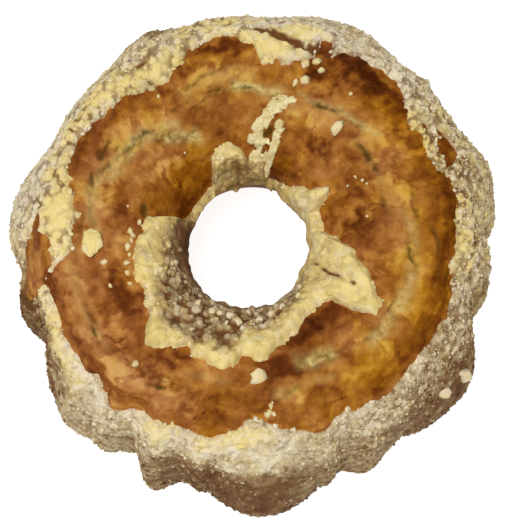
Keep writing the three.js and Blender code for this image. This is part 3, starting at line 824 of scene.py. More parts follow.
def rubbed_streusel():
    material, tree = empty_material("rubbed_butter_streusel")
    fields = {}
    for name in ("cover_and_shade", "cream", "gap"):
        fields[name] = add_node(tree, "ShaderNodeAttribute", attribute_name=name).outputs["Fac"]
    height, grains, clouds, cells = streusel_patterns(tree)
    own, hue, _ = add_node(tree, "ShaderNodeSeparateColor", {"Color": cells["Color"]}).outputs
    tone = streusel_tone(tree, fields["cover_and_shade"], height, grains["Fac"], clouds, own, cells["Distance"])

    # Dusty to creamy by the mesh's number and each crumb's own hue, then brown cake and painted shade in
    # gaps.
    dusty = add_node(tree, "ShaderNodeValToRGB", {"Fac": tone}, DUSTY).outputs["Color"]
    creamy = add_node(tree, "ShaderNodeValToRGB", {"Fac": tone}, CREAMY).outputs["Color"]
    yellow = add_node(tree, "ShaderNodeMath", {0: hue, 1: 0.5, 2: fields["cream"]},
                      operation="MULTIPLY_ADD").outputs[0]
    yellow = add_node(tree, "ShaderNodeMath", {0: yellow, 1: 0.25},
                      operation="SUBTRACT", use_clamp=True).outputs[0]
    colour = add_node(tree, "ShaderNodeMix", {
        "Factor": yellow, 6: dusty, 7: creamy,
    }, data_type="RGBA").outputs[2]
    colour = add_node(tree, "ShaderNodeMix", {
        "Factor": fields["gap"], 6: colour, 7: linear(BROWN_GAP_AND_SHADE),
    }, data_type="RGBA").outputs[2]

    # A matt finish, as flour and sugar are, with grains that are finer than the mesh.
    relief = add_node(tree, "ShaderNodeMath", {0: grains["Fac"], 1: cells["Distance"]},
                      operation="SUBTRACT").outputs[0]
    bump = add_node(tree, "ShaderNodeBump", {
        "Height": relief, "Strength": 0.35, "Distance": STREUSEL_BUMP * MM,
    })
    shader = add_node(tree, "ShaderNodeBsdfPrincipled", {
        "Base Color": colour, "Roughness": STREUSEL_ROUGHNESS, "Normal": bump.outputs[0],
        "IOR": BAKED_IOR, "Specular IOR Level": STREUSEL_SHINE,
    })
    add_node(tree, "ShaderNodeOutputMaterial", {"Surface": shader.outputs[0]})
    return material


streusel_material = rubbed_streusel()
print(streusel_material.name, "with", len(streusel_material.node_tree.nodes), "nodes")

# %% [markdown]
# The coat and the collar are skins of streusel on the cake. They could be thousands of loose crumbs, but a
# closed skin with grains in its relief is lighter and throws the same small shadows. A skin is a grid that
# runs from a hidden end to a ragged edge. It dives under the crust's surface at its edge and at the bare
# places, so that no gap shows, and it closes along its back.

# %% Skins
SKIN_HEIGHT = 2.65
SKIN_SUNK = 1.8
EDGE_MARGIN = 0.06
BACK_STATIONS = 6
BACK_DEPTH = 2.4
STATION_SHIFT = 0.25
EDGE_RAGGED = 0.04
LEAST_WEIGHT = 1e-6


def skin_stations(around, hidden_end, edge, stations):
    """Directions and turns of a skin's grid, which runs a little past its edge and is closest there."""
    u = np.linspace(0, 1, stations)
    share = u + STATION_SHIFT * u * (1 - u)
    far_end = edge + EDGE_MARGIN * np.sign(edge - hidden_end)
    turn = hidden_end + (far_end[:, None] - hidden_end) * share
    return np.broadcast_to(around[:, None], turn.shape), turn


def lying_share(inside, base, width, seed):
    """How fully a skin lies, from 0 to 1, with a round lip. Its edge is ragged and leaves small islands."""
    ragged = inside + EDGE_RAGGED * soft_noise(base, 6, 3, seed)
    within = np.clip(ragged / width, 0, 1)
    return np.sqrt(1 - (1 - within) ** 2)


def skin_grid(direction, turn, lying, rise):
    """Points of a skin's face: on the crust by its height where it lies, under it where it ends."""
    height = lying * (SKIN_HEIGHT + rise) - SKIN_SUNK * (1 - lying)
    return surface(direction, turn, crust_height(direction, turn) + height)


def skin_piece(name, node, direction, turn, grid, fields):
    """A closed skin that stands for one of the solids."""
    back_turn = np.linspace(turn[:, -1], turn[:, 0], BACK_STATIONS, axis=1)
    back = surface(direction[:, :BACK_STATIONS], back_turn, -BACK_DEPTH)
    points = np.concatenate([grid, back], axis=1)
    padded = {field: np.pad(values, ((0, 0), (0, BACK_STATIONS))) for field, values in fields.items()}
    faces = ring_faces(*points.shape[:2])
    faces = faces if turn[0, -1] > turn[0, 0] else faces[:, ::-1]
    piece = mesh_piece(name, points, faces, padded, streusel_material)
    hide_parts(node)


print("skins stand", SKIN_HEIGHT, "mm above the crust and end", SKIN_SUNK, "mm under it")

# %% [markdown]
# The coat covers the outer wall and the shoulder, with tongues that run in over the crust, thick clumps,
# and places that are worn thin or bare down to the brown cake. How well it covers the wall and the shoulder
# changes round the cake, so two lines give that. Below the shoulder the valleys between the flutes are
# painted darker, as painted shade.

# %% The coat's edge, bare places and thick clumps
COAT_EDGE = [
    (0, 1.75), (6, 1.71), (12, 1.74), (16, 1.86), (20, 1.90), (24, 1.87), (28, 1.83), (31, 1.90),
    (34, 1.92), (37, 1.85), (42, 1.72), (50, 1.71), (57, 1.77), (62, 1.79), (66, 1.86), (70, 1.93),
    (73, 1.97), (77, 2.01), (86, 2.01), (89, 1.92), (93, 1.86), (97, 1.80), (105, 1.81), (110, 1.89),
    (114, 1.98), (122, 2.0), (130, 1.99), (135, 1.95), (141, 1.93), (147, 1.88), (152, 1.85), (160, 1.85),
    (166, 1.92), (173, 1.98), (180, 2.0), (188, 1.99), (190.5, 1.96), (192.5, 1.88), (196, 1.6),
    (204, 1.57), (212, 1.55), (222, 1.55), (226, 1.6), (229, 1.5), (234, 1.48), (239, 1.49), (242, 1.56),
    (246, 1.67), (250, 1.66), (254, 1.61), (260, 1.64), (265, 1.72), (271, 1.83), (274, 1.83), (278, 1.74),
    (284, 1.66), (292, 1.63), (308, 1.63), (324, 1.65), (336, 1.67), (343, 1.65), (347, 1.74), (354, 1.76),
]
BARE = [
    (192, 1.42, 6, 0.33, 1.5), (186, 1.54, 5, 0.18, 1.4), (180, 1.6, 4, 0.08, 1.3),
    (175, 1.62, 3, 0.05, 1.2), (22, 1.67, 6, 0.08, 1.3), (30, 1.78, 2, 0.03, 0.9), (15, 1.76, 4, 0.03, 0.8),
    (67.5, 1.81, 2.5, 0.08, 1.2),
]
WORN = [
    (86, 1.76, 4, 0.05, 1.0), (80.5, 1.81, 4, 0.045, 0.85), (76, 1.845, 4, 0.04, 1.2),
    (71.5, 1.86, 4, 0.04, 1.2), (68, 1.8, 3, 0.05, 0.9), (163, 1.75, 5, 0.03, 0.6),
    (146, 1.74, 6, 0.03, 0.7), (126, 1.8, 7, 0.025, 0.7),
]
CLUMPS = [
    (83, 1.91, 9, 0.12, 1.3), (76, 1.7, 7, 0.06, 0.9), (121, 1.92, 9, 0.09, 0.9), (137, 1.8, 8, 0.14, 0.6),
    (178, 1.88, 10, 0.12, 1.3), (205, 1.45, 10, 0.14, 1.2), (219, 1.36, 7, 0.16, 1.0),
    (247, 1.56, 5, 0.12, 1.3), (267, 1.68, 8, 0.1, 1.5), (258, 1.57, 4, 0.07, 0.8),
    (150, 1.6, 12, 0.25, 0.5), (24, 1.84, 6, 0.05, 0.7), (33, 1.88, 4, 0.06, 0.5),
    (356, 1.68, 8, 0.08, 0.7), (100, 1.6, 12, 0.2, 0.4), (274, 1.42, 6, 0.12, 0.6),
    (299, 1.48, 3, 0.08, 0.3), (73, 1.7, 6, 0.15, 0.5),
]
HEAPS = [(130, 1.78, 9, 0.18, 2.2), (74, 1.74, 6, 0.08, 1.2)]
print(len(COAT_EDGE), "corners along the coat's edge")

# %% How well the coat covers
WALL_COVER = [
    (0, 0.62), (20, 0.66), (60, 0.7), (90, 0.82), (108, 0.82), (113, 0.32), (121, 0.34), (128, 0.75),
    (170, 0.8), (180, 0.7), (194, 0.1), (205, 0.08), (217, 0.26), (224, 0.54), (242, 0.5), (247, 0.3),
    (262, 0.12), (276, 0.12), (283, 0.3), (290, 0.42), (310, 0.38), (314, 0.2), (327, 0.16), (335, 0.26),
    (346, 0.4),
]
SHOULDER_COVER = [
    (0, 0.7), (15, 0.58), (30, 0.7), (50, 0.78), (62, 0.7), (72, 0.8), (80, 0.92), (95, 0.88), (130, 0.74),
    (152, 0.86), (170, 0.82), (198, 0.98), (222, 0.95), (230, 0.74), (240, 0.74), (250, 0.8), (265, 0.82),
    (285, 0.72), (310, 0.68), (320, 0.6), (338, 0.64), (350, 0.74),
]
SHOULDER_START = [
    (0, 1.02), (107, 1.02), (112, 1.24), (122, 1.24), (127, 1.02), (180, 1.02), (194, 1.22), (222, 1.22),
    (228, 1.05), (244, 1.05), (250, 1.12), (285, 1.12), (300, 1.1), (345, 1.1), (355, 1.02),
]
CLUMPINESS = [
    (0, 0.3), (60, 0.3), (80, 0.2), (110, 0.2), (130, 0.12), (170, 0.12), (200, 0.3), (240, 0.28),
    (262, 0.12), (310, 0.15), (330, 0.26),
]
VALLEY_SHADE = 0.06

# Sides of the cake, each from one direction to another with soft ends.
CREAMY_SIDE = (95, 194, 24)
YELLOW_SIDE = (345, 392, 25)
GREY_SIDE = (140, 168, 10)
SANDY_SIDE = (226, 306, 16)
DULL_SIDE = (198, 300, 6)
RUBBED_SIDE = (305, 392, 25)
print(len(WALL_COVER), "corners along the wall's cover,", len(SHOULDER_COVER), "along the shoulder's")

# %% The coat's cover and crumbs
COAT_START = 0.25
COAT_DIRECTIONS = 700
COAT_STATIONS = 124
COAT_LIP = 0.07
COAT_RING_TURN = 1.7
around = np.arange(COAT_DIRECTIONS) * 360 / COAT_DIRECTIONS
circle = surface(around, np.full(COAT_DIRECTIONS, COAT_RING_TURN), 0)
coat_edge = edge_line(around, COAT_EDGE) + 0.02 * soft_noise(circle, 9, 2, 8)
direction, turn = skin_stations(around, COAT_START, coat_edge, COAT_STATIONS)
base = surface(direction, turn, 0)
upright = drawn_upright(base)
bare = patches(direction, turn, BARE)
bare = smooth((bare + 0.5 * soft_noise(base, 4, 2, 10) * (bare > 0.1) - 0.3) / 0.4)
worn = patches(direction, turn, WORN) * (1 + 0.9 * soft_noise(base, 3, 2, 43))
worn = smooth((worn - 0.4) / 0.25)
clump = patches(direction, turn, CLUMPS)
clumpy = edge_line(around, CLUMPINESS)[:, None] * soft_noise(upright, 4.5, 2, 32)
clumpy = clumpy * (1 - 0.6 * np.clip(clump, 0, 1))

shoulder_start = edge_line(around, SHOULDER_START)[:, None]
shoulder = smooth((turn - shoulder_start) / 0.38 + 0.3 * soft_noise(base, 7, 2, 13))
wall_cover = edge_line(around, WALL_COVER)[:, None]
cover_and_shade = wall_cover + (edge_line(around, SHOULDER_COVER)[:, None] - wall_cover) * shoulder
cover_and_shade = cover_and_shade + 0.1 * soft_noise(base, 12, 2, 15) + 0.2 * np.minimum(clump, 1)
# Painted shade: below the shoulder the coat is darker in the valleys between the flutes.
valley = 1 - np.minimum(flutes(direction) / BROAD_FLUTE, 1)
cover_and_shade = cover_and_shade + clumpy - VALLEY_SHADE * valley * (1 - shoulder)
print("coat grid", direction.shape, "covered", round(float(cover_and_shade.mean()), 2), "on average")

# %% The coat as a fine skin
creamy_side = span(direction, *CREAMY_SIDE)
sandy = span(direction, *SANDY_SIDE)
rubbed_side = span(direction, *RUBBED_SIDE)
fine = grain_noise(upright, 2.2, 4)
coarse = (1 - sandy) * grain_noise(upright, 3.6, 3) + sandy * fine
heaped = np.clip(cover_and_shade, 0.25, 1)
rise = 0.7 * soft_noise(base, 10, 2, 12) + heaped * (1.0 * coarse + 0.4 * fine) + 1.5 * clumpy - 1.0
rise += clump * (0.5 + 0.3 * coarse) + patches(direction, turn, HEAPS) - 1.2 * worn
lying = lying_share(coat_edge[:, None] - turn, base, COAT_LIP, 28) * (1 - bare)
coat_grid = skin_grid(direction, turn, lying, rise)

creamy = 0.38 * creamy_side + 0.42 * span(direction, *YELLOW_SIDE) - 0.12 * sandy
cream = 0.75 * clump + creamy + 0.2 * sandy * shoulder
cream = cream + 0.35 * soft_noise(base, 8, 2, 11) + 0.3 * soft_noise(base, 3, 2, 42) * np.minimum(clump, 1)
cream = cream - 0.35 * span(direction, *GREY_SIDE) * smooth((1.65 - turn) / 0.15)
cream = smooth(cream) * (1 - 0.3 * span(direction, *DULL_SIDE))
open_share = 0.42 + 0.3 * rubbed_side + 0.2 * creamy_side - 0.2 * sandy + 0.5 * soft_noise(base, 9, 2, 33)
rubbed = smooth((soft_noise(upright, 3.2, 2, 37) - 0.3) / 0.2) * (0.15 + 0.6 * rubbed_side)
# Gaps: brown cake between the grains with painted shade in them; rubbed and worn places are real.
gaps_and_shade = np.clip(open_share, 0, 1) * smooth((0.5 - coarse) / 0.3)
gaps_and_shade = gaps_and_shade * (0.6 + 0.4 * smooth((turn - 1.1) / 0.4))
gaps_and_shade = np.maximum(np.maximum(gaps_and_shade, rubbed) * smooth((1.3 - clump) / 0.7), worn)
coat_fields = {"cover_and_shade": cover_and_shade, "cream": cream, "gap": gaps_and_shade}
skin_piece("streusel_coat_skin", "streusel_coat", direction, turn, coat_grid, coat_fields)

# Where loose crumbs lie on the coat: along its rim, on its body and, as fine grains, on the dusted wall.
coat_skin = (coat_grid, grid_normals(coat_grid), cover_and_shade, cream)
coat_rim = lying * (1 - lying) + LEAST_WEIGHT
coat_body = (0.12 + np.clip(cover_and_shade, 0, 1)) * (1 - worn) * lying * smooth((turn - 0.8) / 0.4) + LEAST_WEIGHT
coat_dusted = lying * smooth((0.9 - cover_and_shade) / 0.3) * smooth((turn - 0.3) / 0.2) + LEAST_WEIGHT

# %% [markdown]
# The collar is the same streusel pressed against the wall of the hole. Its edge climbs over the crust in
# tongues and stands up as a pale ridge, with painted shade down its inner slope. Inside the ridge, towards
# the hole, the crumbs lie coarse and loose with brown gaps and painted shade between them, and the wall of
# the hole is only dusted, with painted shade on its left side. It could be part of the coat's mesh, but
# bare crust lies between them, so it is a second skin made by the same functions.

# %% The collar's edge, its ridge and its coarse zone
COLLAR_EDGE = [
    (0, 2.71), (10, 2.76), (19, 2.76), (22, 2.64), (25, 2.56), (30, 2.55), (33, 2.60), (37, 2.70),
    (42, 2.73), (48, 2.79), (55, 2.87), (62, 2.96), (70, 3.02), (76, 3.02), (79, 2.8), (84, 2.74),
    (88, 2.76), (93, 2.72), (97, 2.60), (102, 2.55), (112, 2.55), (118, 2.6), (121, 2.74), (126, 2.88),
    (140, 2.91), (160, 2.89), (168, 2.82), (171, 2.6), (174, 2.48), (180, 2.42), (190, 2.36), (197, 2.32),
    (205, 2.29), (213, 2.28), (222, 2.23), (228, 2.12), (231, 2.06), (235, 2.08), (241, 2.13), (244, 2.22),
    (248, 2.15), (257, 2.12), (264, 2.13), (267, 2.24), (271, 2.21), (275, 2.17), (280, 2.25), (286, 2.31),
    (292, 2.35), (298, 2.4), (306, 2.43), (312, 2.44), (316, 2.36), (319, 2.2), (322, 2.1), (326, 2.1),
    (331, 2.18), (336, 2.28), (341, 2.37), (346, 2.42), (351, 2.54), (356, 2.63),
]
RIDGE_END = [
    (0, 2.98), (30, 2.98), (60, 3.1), (78, 2.95), (90, 2.8), (105, 2.68), (118, 2.72), (130, 3.0),
    (165, 2.95), (174, 2.6), (180, 2.66), (190, 2.62), (205, 2.52), (214, 2.42), (222, 2.34), (232, 2.28),
    (246, 2.25), (256, 2.28), (263, 2.31), (268, 2.44), (276, 2.46), (286, 2.46), (296, 2.54), (304, 2.62),
    (315, 2.72), (335, 2.85),
]
# How well the wall of the hole is dusted, with painted shade and light: darkest on its left side, palest on
# its right.
HOLE_COVER_AND_SHADE = [
    (0, 0.85), (45, 0.75), (60, 0.5), (85, 0.34), (100, 0.3), (120, 0.46), (150, 0.5), (168, 0.25),
    (176, 0.0), (190, 0.0), (205, 0.08), (225, 0.25), (245, 0.32), (270, 0.34), (298, 0.42), (306, 0.55),
    (330, 0.72), (350, 0.85),
]
COLLAR_FISSURES = [
    (328, 2.32, 1.4, 0.025, 0.9), (327.3, 2.38, 1.0, 0.03, 0.5), (328, 2.45, 1.0, 0.04, 0.9),
    (327.5, 2.52, 1.2, 0.05, 0.8), (329, 2.6, 1.4, 0.06, 0.9), (331.5, 2.7, 1.5, 0.06, 0.7),
    (334, 2.78, 1.8, 0.05, 0.4), (101, 2.8, 5, 0.1, 0.6), (110, 2.72, 3, 0.05, 0.5),
    (93, 2.84, 3, 0.07, 0.5),
]

# Sides of the hole, each from one direction to another with soft ends.
LOOSE_SIDE = (196, 300, 16)
FAR_TONGUE = (84, 118, 8)
LEFT_RIDGE = (172, 230, 10)
SHADED_HOLE_SIDE = (172, 215, 8)
CRUMBLED_RIM = (182, 226, 6)
RIDGE_HEIGHT = 2.0
HOLE_TURN = 2.62
print(len(COLLAR_EDGE), "corners along the collar's edge")

# %% The collar as a fine skin
COLLAR_END = 3.2
COLLAR_DIRECTIONS = 600
COLLAR_STATIONS = 110
COLLAR_LIP = 0.06
around = np.arange(COLLAR_DIRECTIONS) * 360 / COLLAR_DIRECTIONS
collar_edge = edge_line(around, COLLAR_EDGE)
direction, turn = skin_stations(around, COLLAR_END, collar_edge, COLLAR_STATIONS)
base = surface(direction, turn, 0)
past_edge = turn - collar_edge[:, None]
ridge_end = edge_line(around, RIDGE_END)[:, None]
inward = past_edge / (ridge_end - collar_edge[:, None])
rough_zone = smooth((turn - ridge_end) / 0.14 + 0.5 + 0.5 * soft_noise(base, 5, 2, 23))
rough_zone = rough_zone * span(direction, *LOOSE_SIDE)
fissure = np.clip(patches(direction, turn, COLLAR_FISSURES), 0, 1)
in_hole = smooth((turn - HOLE_TURN) / 0.16)
coarse = grain_noise(base, 3.8, 5)
fine = grain_noise(base, 1.9, 6)
ridge = RIDGE_HEIGHT * smooth(past_edge / 0.07) * (1 - smooth(inward - 0.5))
calm = 1 - 0.6 * (1 - rough_zone)
grainy = calm * (1 - 0.6 * in_hole) * (0.4 * coarse + 0.3 * fine)
grainy = grainy + 1.2 * coarse * span(direction, *FAR_TONGUE)
rise = 0.6 * soft_noise(base, 9, 2, 16) + grainy + ridge - 0.6
rise += rough_zone * (1 - in_hole) * (1.5 * coarse - 1.0) - 1.4 * fissure
lying = lying_share(past_edge, base, COLLAR_LIP, 30) * smooth((COLLAR_END - turn) / 0.08)
collar_grid = skin_grid(direction, turn, lying, rise)

hole_cover = edge_line(around, HOLE_COVER_AND_SHADE)[:, None]
# Painted shade: the ridge is darker down its inner slope towards the hole, and partly on the left side.
ridge_cover_and_shade = 0.9 - 0.08 * span(direction, *LEFT_RIDGE) - 0.35 * smooth(inward - 0.25)
loose_cover = 0.08 + 0.45 * coarse
cover_and_shade = ridge_cover_and_shade + (loose_cover - ridge_cover_and_shade) * rough_zone
cover_and_shade = cover_and_shade + (hole_cover - cover_and_shade) * in_hole - 0.4 * fissure
# Painted shade: the wall of the hole is darker and less creamy on its left side.
shaded_hole_side = in_hole * span(direction, *SHADED_HOLE_SIDE)
cream = 0.8 + 0.3 * soft_noise(base, 8, 2, 17) - 0.5 * rough_zone - 0.1 * in_hole - 0.7 * shaded_hole_side
cream = smooth(cream)
# Gaps: brown cake between the coarse crumbs and in the fissures, darkened as painted shade.
gaps_and_shade = smooth((0.6 - coarse) / 0.4) * (1 - in_hole) * (0.14 + 0.86 * rough_zone)
gaps_and_shade = np.maximum(gaps_and_shade, smooth((fissure - 0.3) / 0.5))
collar_fields = {"cover_and_shade": cover_and_shade, "cream": cream, "gap": gaps_and_shade}
skin_piece("streusel_collar_skin", "streusel_collar", direction, turn, collar_grid, collar_fields)

# Where loose crumbs lie on the collar: along its rim, on its ridge and in its coarse zone.
collar_skin = (collar_grid, -grid_normals(collar_grid), cover_and_shade, cream)
collar_rim = lying * (1 - lying) * (0.15 + span(direction, *CRUMBLED_RIM)) + LEAST_WEIGHT
collar_ridge = lying * (1 - rough_zone) * (1 - in_hole) + LEAST_WEIGHT
collar_loose = rough_zone * (1 - in_hole) + LEAST_WEIGHT

# %% [markdown]
# Crumbs lie on the streusel, along its edges and singly on the crust. Particles could scatter them, but
# these have to lie at given places too. They are pebbles of one kind, so they are one mesh: a ball with
# uneven radius, copied by arrays with a turn and a size of its own. A crumb has the tone of the streusel
# that it lies on, and is mostly a little paler because it dried out more.

# %% Pebbles
PEBBLE_UNEVEN = 0.16
PEBBLE_FLATTEST, PEBBLE_LONGEST = 0.6, 1.3
rng = np.random.default_rng(11)


def unit_ball(subdivisions):
    """Points and three-sided faces of a ball of radius 1."""
    ball = bmesh.new()
    bmesh.ops.create_icosphere(ball, subdivisions=subdivisions, radius=1)
    points = np.array([corner.co[:] for corner in ball.verts])
    faces = np.array([[corner.index for corner in face.verts] for face in ball.faces])
    ball.free()
    return points, faces


def random_turns(count):
    """Random rotation matrices, from random unit quaternions."""
    q = rng.normal(size=(count, 4))
    w, x, y, z = (q / np.linalg.norm(q, axis=1, keepdims=True)).T
    rows = [
        [1 - 2 * (y * y + z * z), 2 * (x * y - z * w), 2 * (x * z + y * w)],
        [2 * (x * y + z * w), 1 - 2 * (x * x + z * z), 2 * (y * z - x * w)],
        [2 * (x * z - y * w), 2 * (y * z + x * w), 1 - 2 * (x * x + y * y)],
    ]
    return np.array(rows).transpose(2, 0, 1)


def pebbles(centres, radii, ball):
    """Points and faces of uneven pebbles at these centres, each made from a ball's points and faces."""
    ball_points, ball_faces = ball
    count = len(centres)
    uneven = 1 + PEBBLE_UNEVEN * rng.normal(size=(count, len(ball_points), 1))
    stretch = rng.uniform(PEBBLE_FLATTEST, PEBBLE_LONGEST, size=(count, 1, 3))
    stretched = ball_points * uneven * stretch
    spun = np.einsum("nij,nkj->nki", random_turns(count), stretched)
    points = centres[:, None] + spun * radii[:, None, None]
    faces = ball_faces + np.arange(count)[:, None, None] * len(ball_points)
    return points, faces.reshape(-1, 3)


def pick(weights, count):
    """Random places of a grid, picked by weight."""
    chance = weights.ravel() / weights.sum()
    return rng.choice(chance.size, size=count, replace=False, p=chance)


print("pebbles are", PEBBLE_FLATTEST, "to", PEBBLE_LONGEST, "times their size along each axis")

# %% Crumbs on the streusel and the crust
LOOSE_CRUMBS = [
    (49, 2.235, 3.3), (273, 2.085, 3.3), (232, 1.95, 1.6), (206, 2.12, 1.0), (196, 2.13, 1.4),
    (184, 2.33, 1.6), (22, 2.32, 0.9), (25, 2.35, 0.8), (20, 2.3, 0.6), (23, 2.43, 0.6), (131, 2.46, 0.7),
    (172, 2.3, 0.9), (125, 2.05, 0.9), (53, 2.0, 0.8), (4, 2.36, 0.8), (66, 1.98, 2.0), (70, 2.07, 2.2),
    (72, 1.97, 2.6), (69, 1.93, 2.2), (73, 2.1, 1.6), (276.6, 1.93, 0.7), (276.2, 1.91, 0.9),
    (276, 1.89, 1.0), (275.8, 1.868, 1.2), (275.3, 1.848, 1.3), (274.3, 1.842, 1.2), (276.7, 1.85, 1.0),
    (28, 2.6, 3.6), (27, 2.63, 3.2), (186, 2.35, 1.4), (188.5, 2.34, 1.2), (192, 2.31, 1.7),
    (195.5, 2.3, 1.3), (199, 2.27, 1.6), (203, 2.26, 1.2), (208, 2.25, 1.3), (179, 2.4, 1.3),
]
NUGGETS = [
    (327, 1.08, 3.7), (321, 1.13, 2.6), (258, 2.55, 2.2), (252, 2.57, 1.8), (264, 2.5, 2.0),
    (246, 2.56, 1.8), (284, 2.57, 2.3), (275, 2.58, 2.5), (292, 2.57, 1.7), (270, 2.5, 1.8),
    (237, 2.56, 1.7), (280, 2.5, 1.5),
]

# Each group: its skin, where it lies, how many, the smallest and largest radius, and how far it stands out.
CRUMB_GROUPS = [
    (coat_skin, coat_rim, 380, 0.4, 1.3, 0.0),
    (coat_skin, coat_body, 1100, 0.4, 1.1, -0.15),
    (collar_skin, collar_rim, 120, 0.5, 1.4, 0.0),
    (collar_skin, collar_ridge, 120, 0.35, 0.7, -0.2),
    (collar_skin, collar_loose, 240, 0.6, 2.0, -0.15),
]
PLACED_COVER = 0.9
CRUST_CREAM, STREUSEL_CREAM = 0.6, 0.25
batches = []
for (grid, normals, cover_and_shade, cream), weights, count, smallest, largest, lift in CRUMB_GROUPS:
    chosen = pick(weights, count)
    size = smallest + (largest - smallest) * rng.random(count) ** 2
    centre = grid.reshape(-1, 3)[chosen] + normals.reshape(-1, 3)[chosen] * size[:, None] * lift
    own_cover = cover_and_shade.ravel()[chosen] + rng.uniform(-0.1, 0.28, count)
    own_cream = cream.ravel()[chosen] + rng.uniform(-0.4, 0.1, count)
    batches.append((centre, size, own_cover, own_cream))
on_crust = [row + (0.05 * row[2] ** 2, CRUST_CREAM) for row in LOOSE_CRUMBS]
on_streusel = [row + (SKIN_HEIGHT, STREUSEL_CREAM) for row in NUGGETS]
for at, middle, size, lift, own_cream in on_crust + on_streusel:
    i = int(round(at / 360 * CAKE_DIRECTIONS)) % CAKE_DIRECTIONS
    j = int(np.argmin(np.abs(CAKE_TURNS - middle)))
    centre = crust_grid[i, j][None] + crust_normals[i, j] * lift
    batches.append((centre, np.array([size]), np.array([PLACED_COVER]), np.array([own_cream])))


def pebble_piece(name, centres, radii, covers, creams, ball):
    """All pebbles of one kind as one mesh, with the streusel's fields the same all over each pebble."""
    points, faces = pebbles(centres, radii, ball)
    fields = {"cover_and_shade": covers, "cream": np.clip(creams, 0, 1), "gap": np.zeros(len(radii))}
    fields = {field: np.repeat(values, len(ball[0])) for field, values in fields.items()}
    piece = mesh_piece(name, points, faces, fields, streusel_material)


pebble_piece("streusel_crumbs", *map(np.concatenate, zip(*batches)), unit_ball(2))

# %% [markdown]
# On the brown wall single grains of sugar and flour stand out, some paler and some browner than the
# streusel where they stick. A texture could paint them, but small solids catch the light and throw shadows.
# None is much more than two millimetres across, so a ball of twenty faces is round enough for each.

# %% Sugar grains on the wall
GRAIN_COUNT = 9500
GRAIN_SMALLEST, GRAIN_LARGEST = 0.3, 1.0
GRAIN_SUNK = 0.2
GRAIN_TONE, GRAIN_CREAM = 0.35, 0.35
grid, normals, cover_and_shade, cream = coat_skin
chosen = pick(coat_dusted, GRAIN_COUNT)
centres = (grid - GRAIN_SUNK * normals).reshape(-1, 3)[chosen]
radii = rng.uniform(GRAIN_SMALLEST, GRAIN_LARGEST, GRAIN_COUNT)
covers = np.clip(cover_and_shade.ravel()[chosen], 0.1, 0.8) + rng.uniform(-GRAIN_TONE, GRAIN_TONE, GRAIN_COUNT)
creams = rng.uniform(0.0, GRAIN_CREAM, GRAIN_COUNT)
pebble_piece("streusel_sugar_grains", centres, radii, covers, creams, unit_ball(1))

# %% [markdown]
# One lump of streusel, as large as a berry, lies on the left of the crown beside the coat. It could be
# sculpted, but a ball pressed flat, with the same grains as the skins, matches them better.

# %% The lump on the crown
LUMP_AT, LUMP_TURN = 188.5, 2.08
LUMP_LONG, LUMP_WIDE, LUMP_HIGH = 10.5, 14.0, 5.5
LUMP_GAP = -0.6
lump_ball, lump_faces = unit_ball(5)
lump_shape = lump_ball * np.array([LUMP_LONG, LUMP_WIDE, LUMP_HIGH]) / 2
lump_rise = 1.6 * soft_noise(lump_shape, 6, 2, 20) + 0.5 * grain_noise(lump_shape, 3.6, 7) - 1.1
lump_rise += 0.35 * grain_noise(lump_shape, 1.6, 8)
lump_shape = lump_shape + lump_ball * lump_rise[:, None]
turned = np.radians(LUMP_AT)
spin = np.array([[np.cos(turned), -np.sin(turned), 0], [np.sin(turned), np.cos(turned), 0], [0, 0, 1]])
foot = surface(np.array(LUMP_AT), np.array(LUMP_TURN), swells(np.array(LUMP_AT), np.array(LUMP_TURN)))
lump_points = lump_shape @ spin.T + foot + np.array([0, 0, LUMP_HIGH / 2 + LUMP_GAP])
ones = np.ones(len(lump_points))
lump_fields = {"cover_and_shade": 0.85 * ones, "cream": 0.9 * ones, "gap": 0 * ones}
lump = mesh_piece("streusel_lump_clump", lump_points, lump_faces, lump_fields, streusel_material)
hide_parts("streusel_lump")

# %% [markdown]
# The stage is a white card under soft light: a broad lamp overhead, which also reaches down the hole, and
# an even bright surrounding. The card is lit from behind, so that only a faint shadow shows under the cake,
# and past its edge the surrounding looks white. A picture of a room could light it, but plain white
# keeps the browns true. The camera looks down steeply from a long way off.

# %% Floor
FLOOR_HALF = 6.0
FLOOR_GREY, FLOOR_ROUGHNESS = "#989898", 0.9
FLOOR_GLOW = 0.9
WHITE = "#ffffff"
floor_material = bpy.data.materials.new("matt_white_card")
floor_material.use_nodes = True
floor_shader = floor_material.node_tree.nodes["Principled BSDF"]
floor_shader.inputs["Base Color"].default_value = linear(FLOOR_GREY)
floor_shader.inputs["Roughness"].default_value = FLOOR_ROUGHNESS
floor_shader.inputs["Emission Color"].default_value = linear(WHITE)
floor_shader.inputs["Emission Strength"].default_value = FLOOR_GLOW
floor_mesh = bpy.data.meshes.new("floor")
corners = [(FLOOR_HALF * x, FLOOR_HALF * y, 0) for x, y in ((-1, -1), (1, -1), (1, 1), (-1, 1))]
floor_mesh.from_pydata(corners, [], [(0, 1, 2, 3)])
floor_mesh.materials.append(floor_material)
floor = bpy.data.objects.new("floor", floor_mesh)
bpy.context.scene.collection.objects.link(floor)
print("floor", 2 * FLOOR_HALF, "m wide")

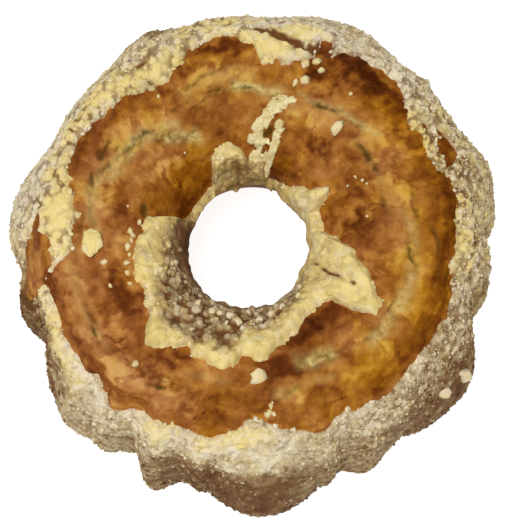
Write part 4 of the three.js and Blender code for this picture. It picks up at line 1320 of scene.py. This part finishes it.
# %% Light
LAMP_AT, LAMP_AIM = (-0.18, -0.3, 1.6), (0, 0, 0.08)
LAMP_POWER = 17.0
LAMP_SIZE = 0.5
SURROUNDING, SEEN_WHITE = 0.3, 1.0
lamp_data = bpy.data.lights.new("overhead_lamp", "AREA")
lamp_data.shape = "DISK"
lamp_data.size = LAMP_SIZE
lamp_data.energy = LAMP_POWER
lamp = bpy.data.objects.new("overhead_lamp", lamp_data)
lamp.location = LAMP_AT
lamp.rotation_euler = (Vector(LAMP_AIM) - lamp.location).to_track_quat("-Z", "Y").to_euler()
bpy.context.scene.collection.objects.link(lamp)
world = bpy.data.worlds.new("soft_surrounding")
world.use_nodes = True
tree = world.node_tree
tree.nodes.clear()
lit = add_node(tree, "ShaderNodeBackground", {"Color": linear(WHITE), "Strength": SURROUNDING}).outputs[0]
seen = add_node(tree, "ShaderNodeBackground", {"Color": linear(WHITE), "Strength": SEEN_WHITE}).outputs[0]
to_camera = add_node(tree, "ShaderNodeLightPath").outputs["Is Camera Ray"]
blend = add_node(tree, "ShaderNodeMixShader", {0: to_camera, 1: lit, 2: seen}).outputs[0]
add_node(tree, "ShaderNodeOutputWorld", {"Surface": blend})
bpy.context.scene.world = world
bpy.context.scene.view_settings.view_transform = "Standard"
print("lamp of", LAMP_POWER, "W at", LAMP_AT)

# %% Camera
ELEVATION = np.radians(74)
DISTANCE = 900.0
LENS, SENSOR_WIDTH = 120.4, 36
AIM_RIGHT, AIM_UP = 6.6, 7.6
back_way = Vector((0, -np.cos(ELEVATION), np.sin(ELEVATION)))
up_way = Vector((0, np.sin(ELEVATION), np.cos(ELEVATION)))
aim = Vector(AXIS) + Vector((AIM_RIGHT, 0, 0)) + up_way * AIM_UP
camera_data = bpy.data.cameras.new("camera")
camera_data.lens = LENS
camera_data.sensor_width = SENSOR_WIDTH
camera = bpy.data.objects.new("camera", camera_data)
camera.location = (aim + back_way * DISTANCE) * MM
camera.rotation_euler = (-back_way).to_track_quat("-Z", "Y").to_euler()
bpy.context.scene.collection.objects.link(camera)
bpy.context.scene.camera = camera
print("camera", DISTANCE, "mm away, looking down", round(float(np.degrees(ELEVATION))), "degrees")
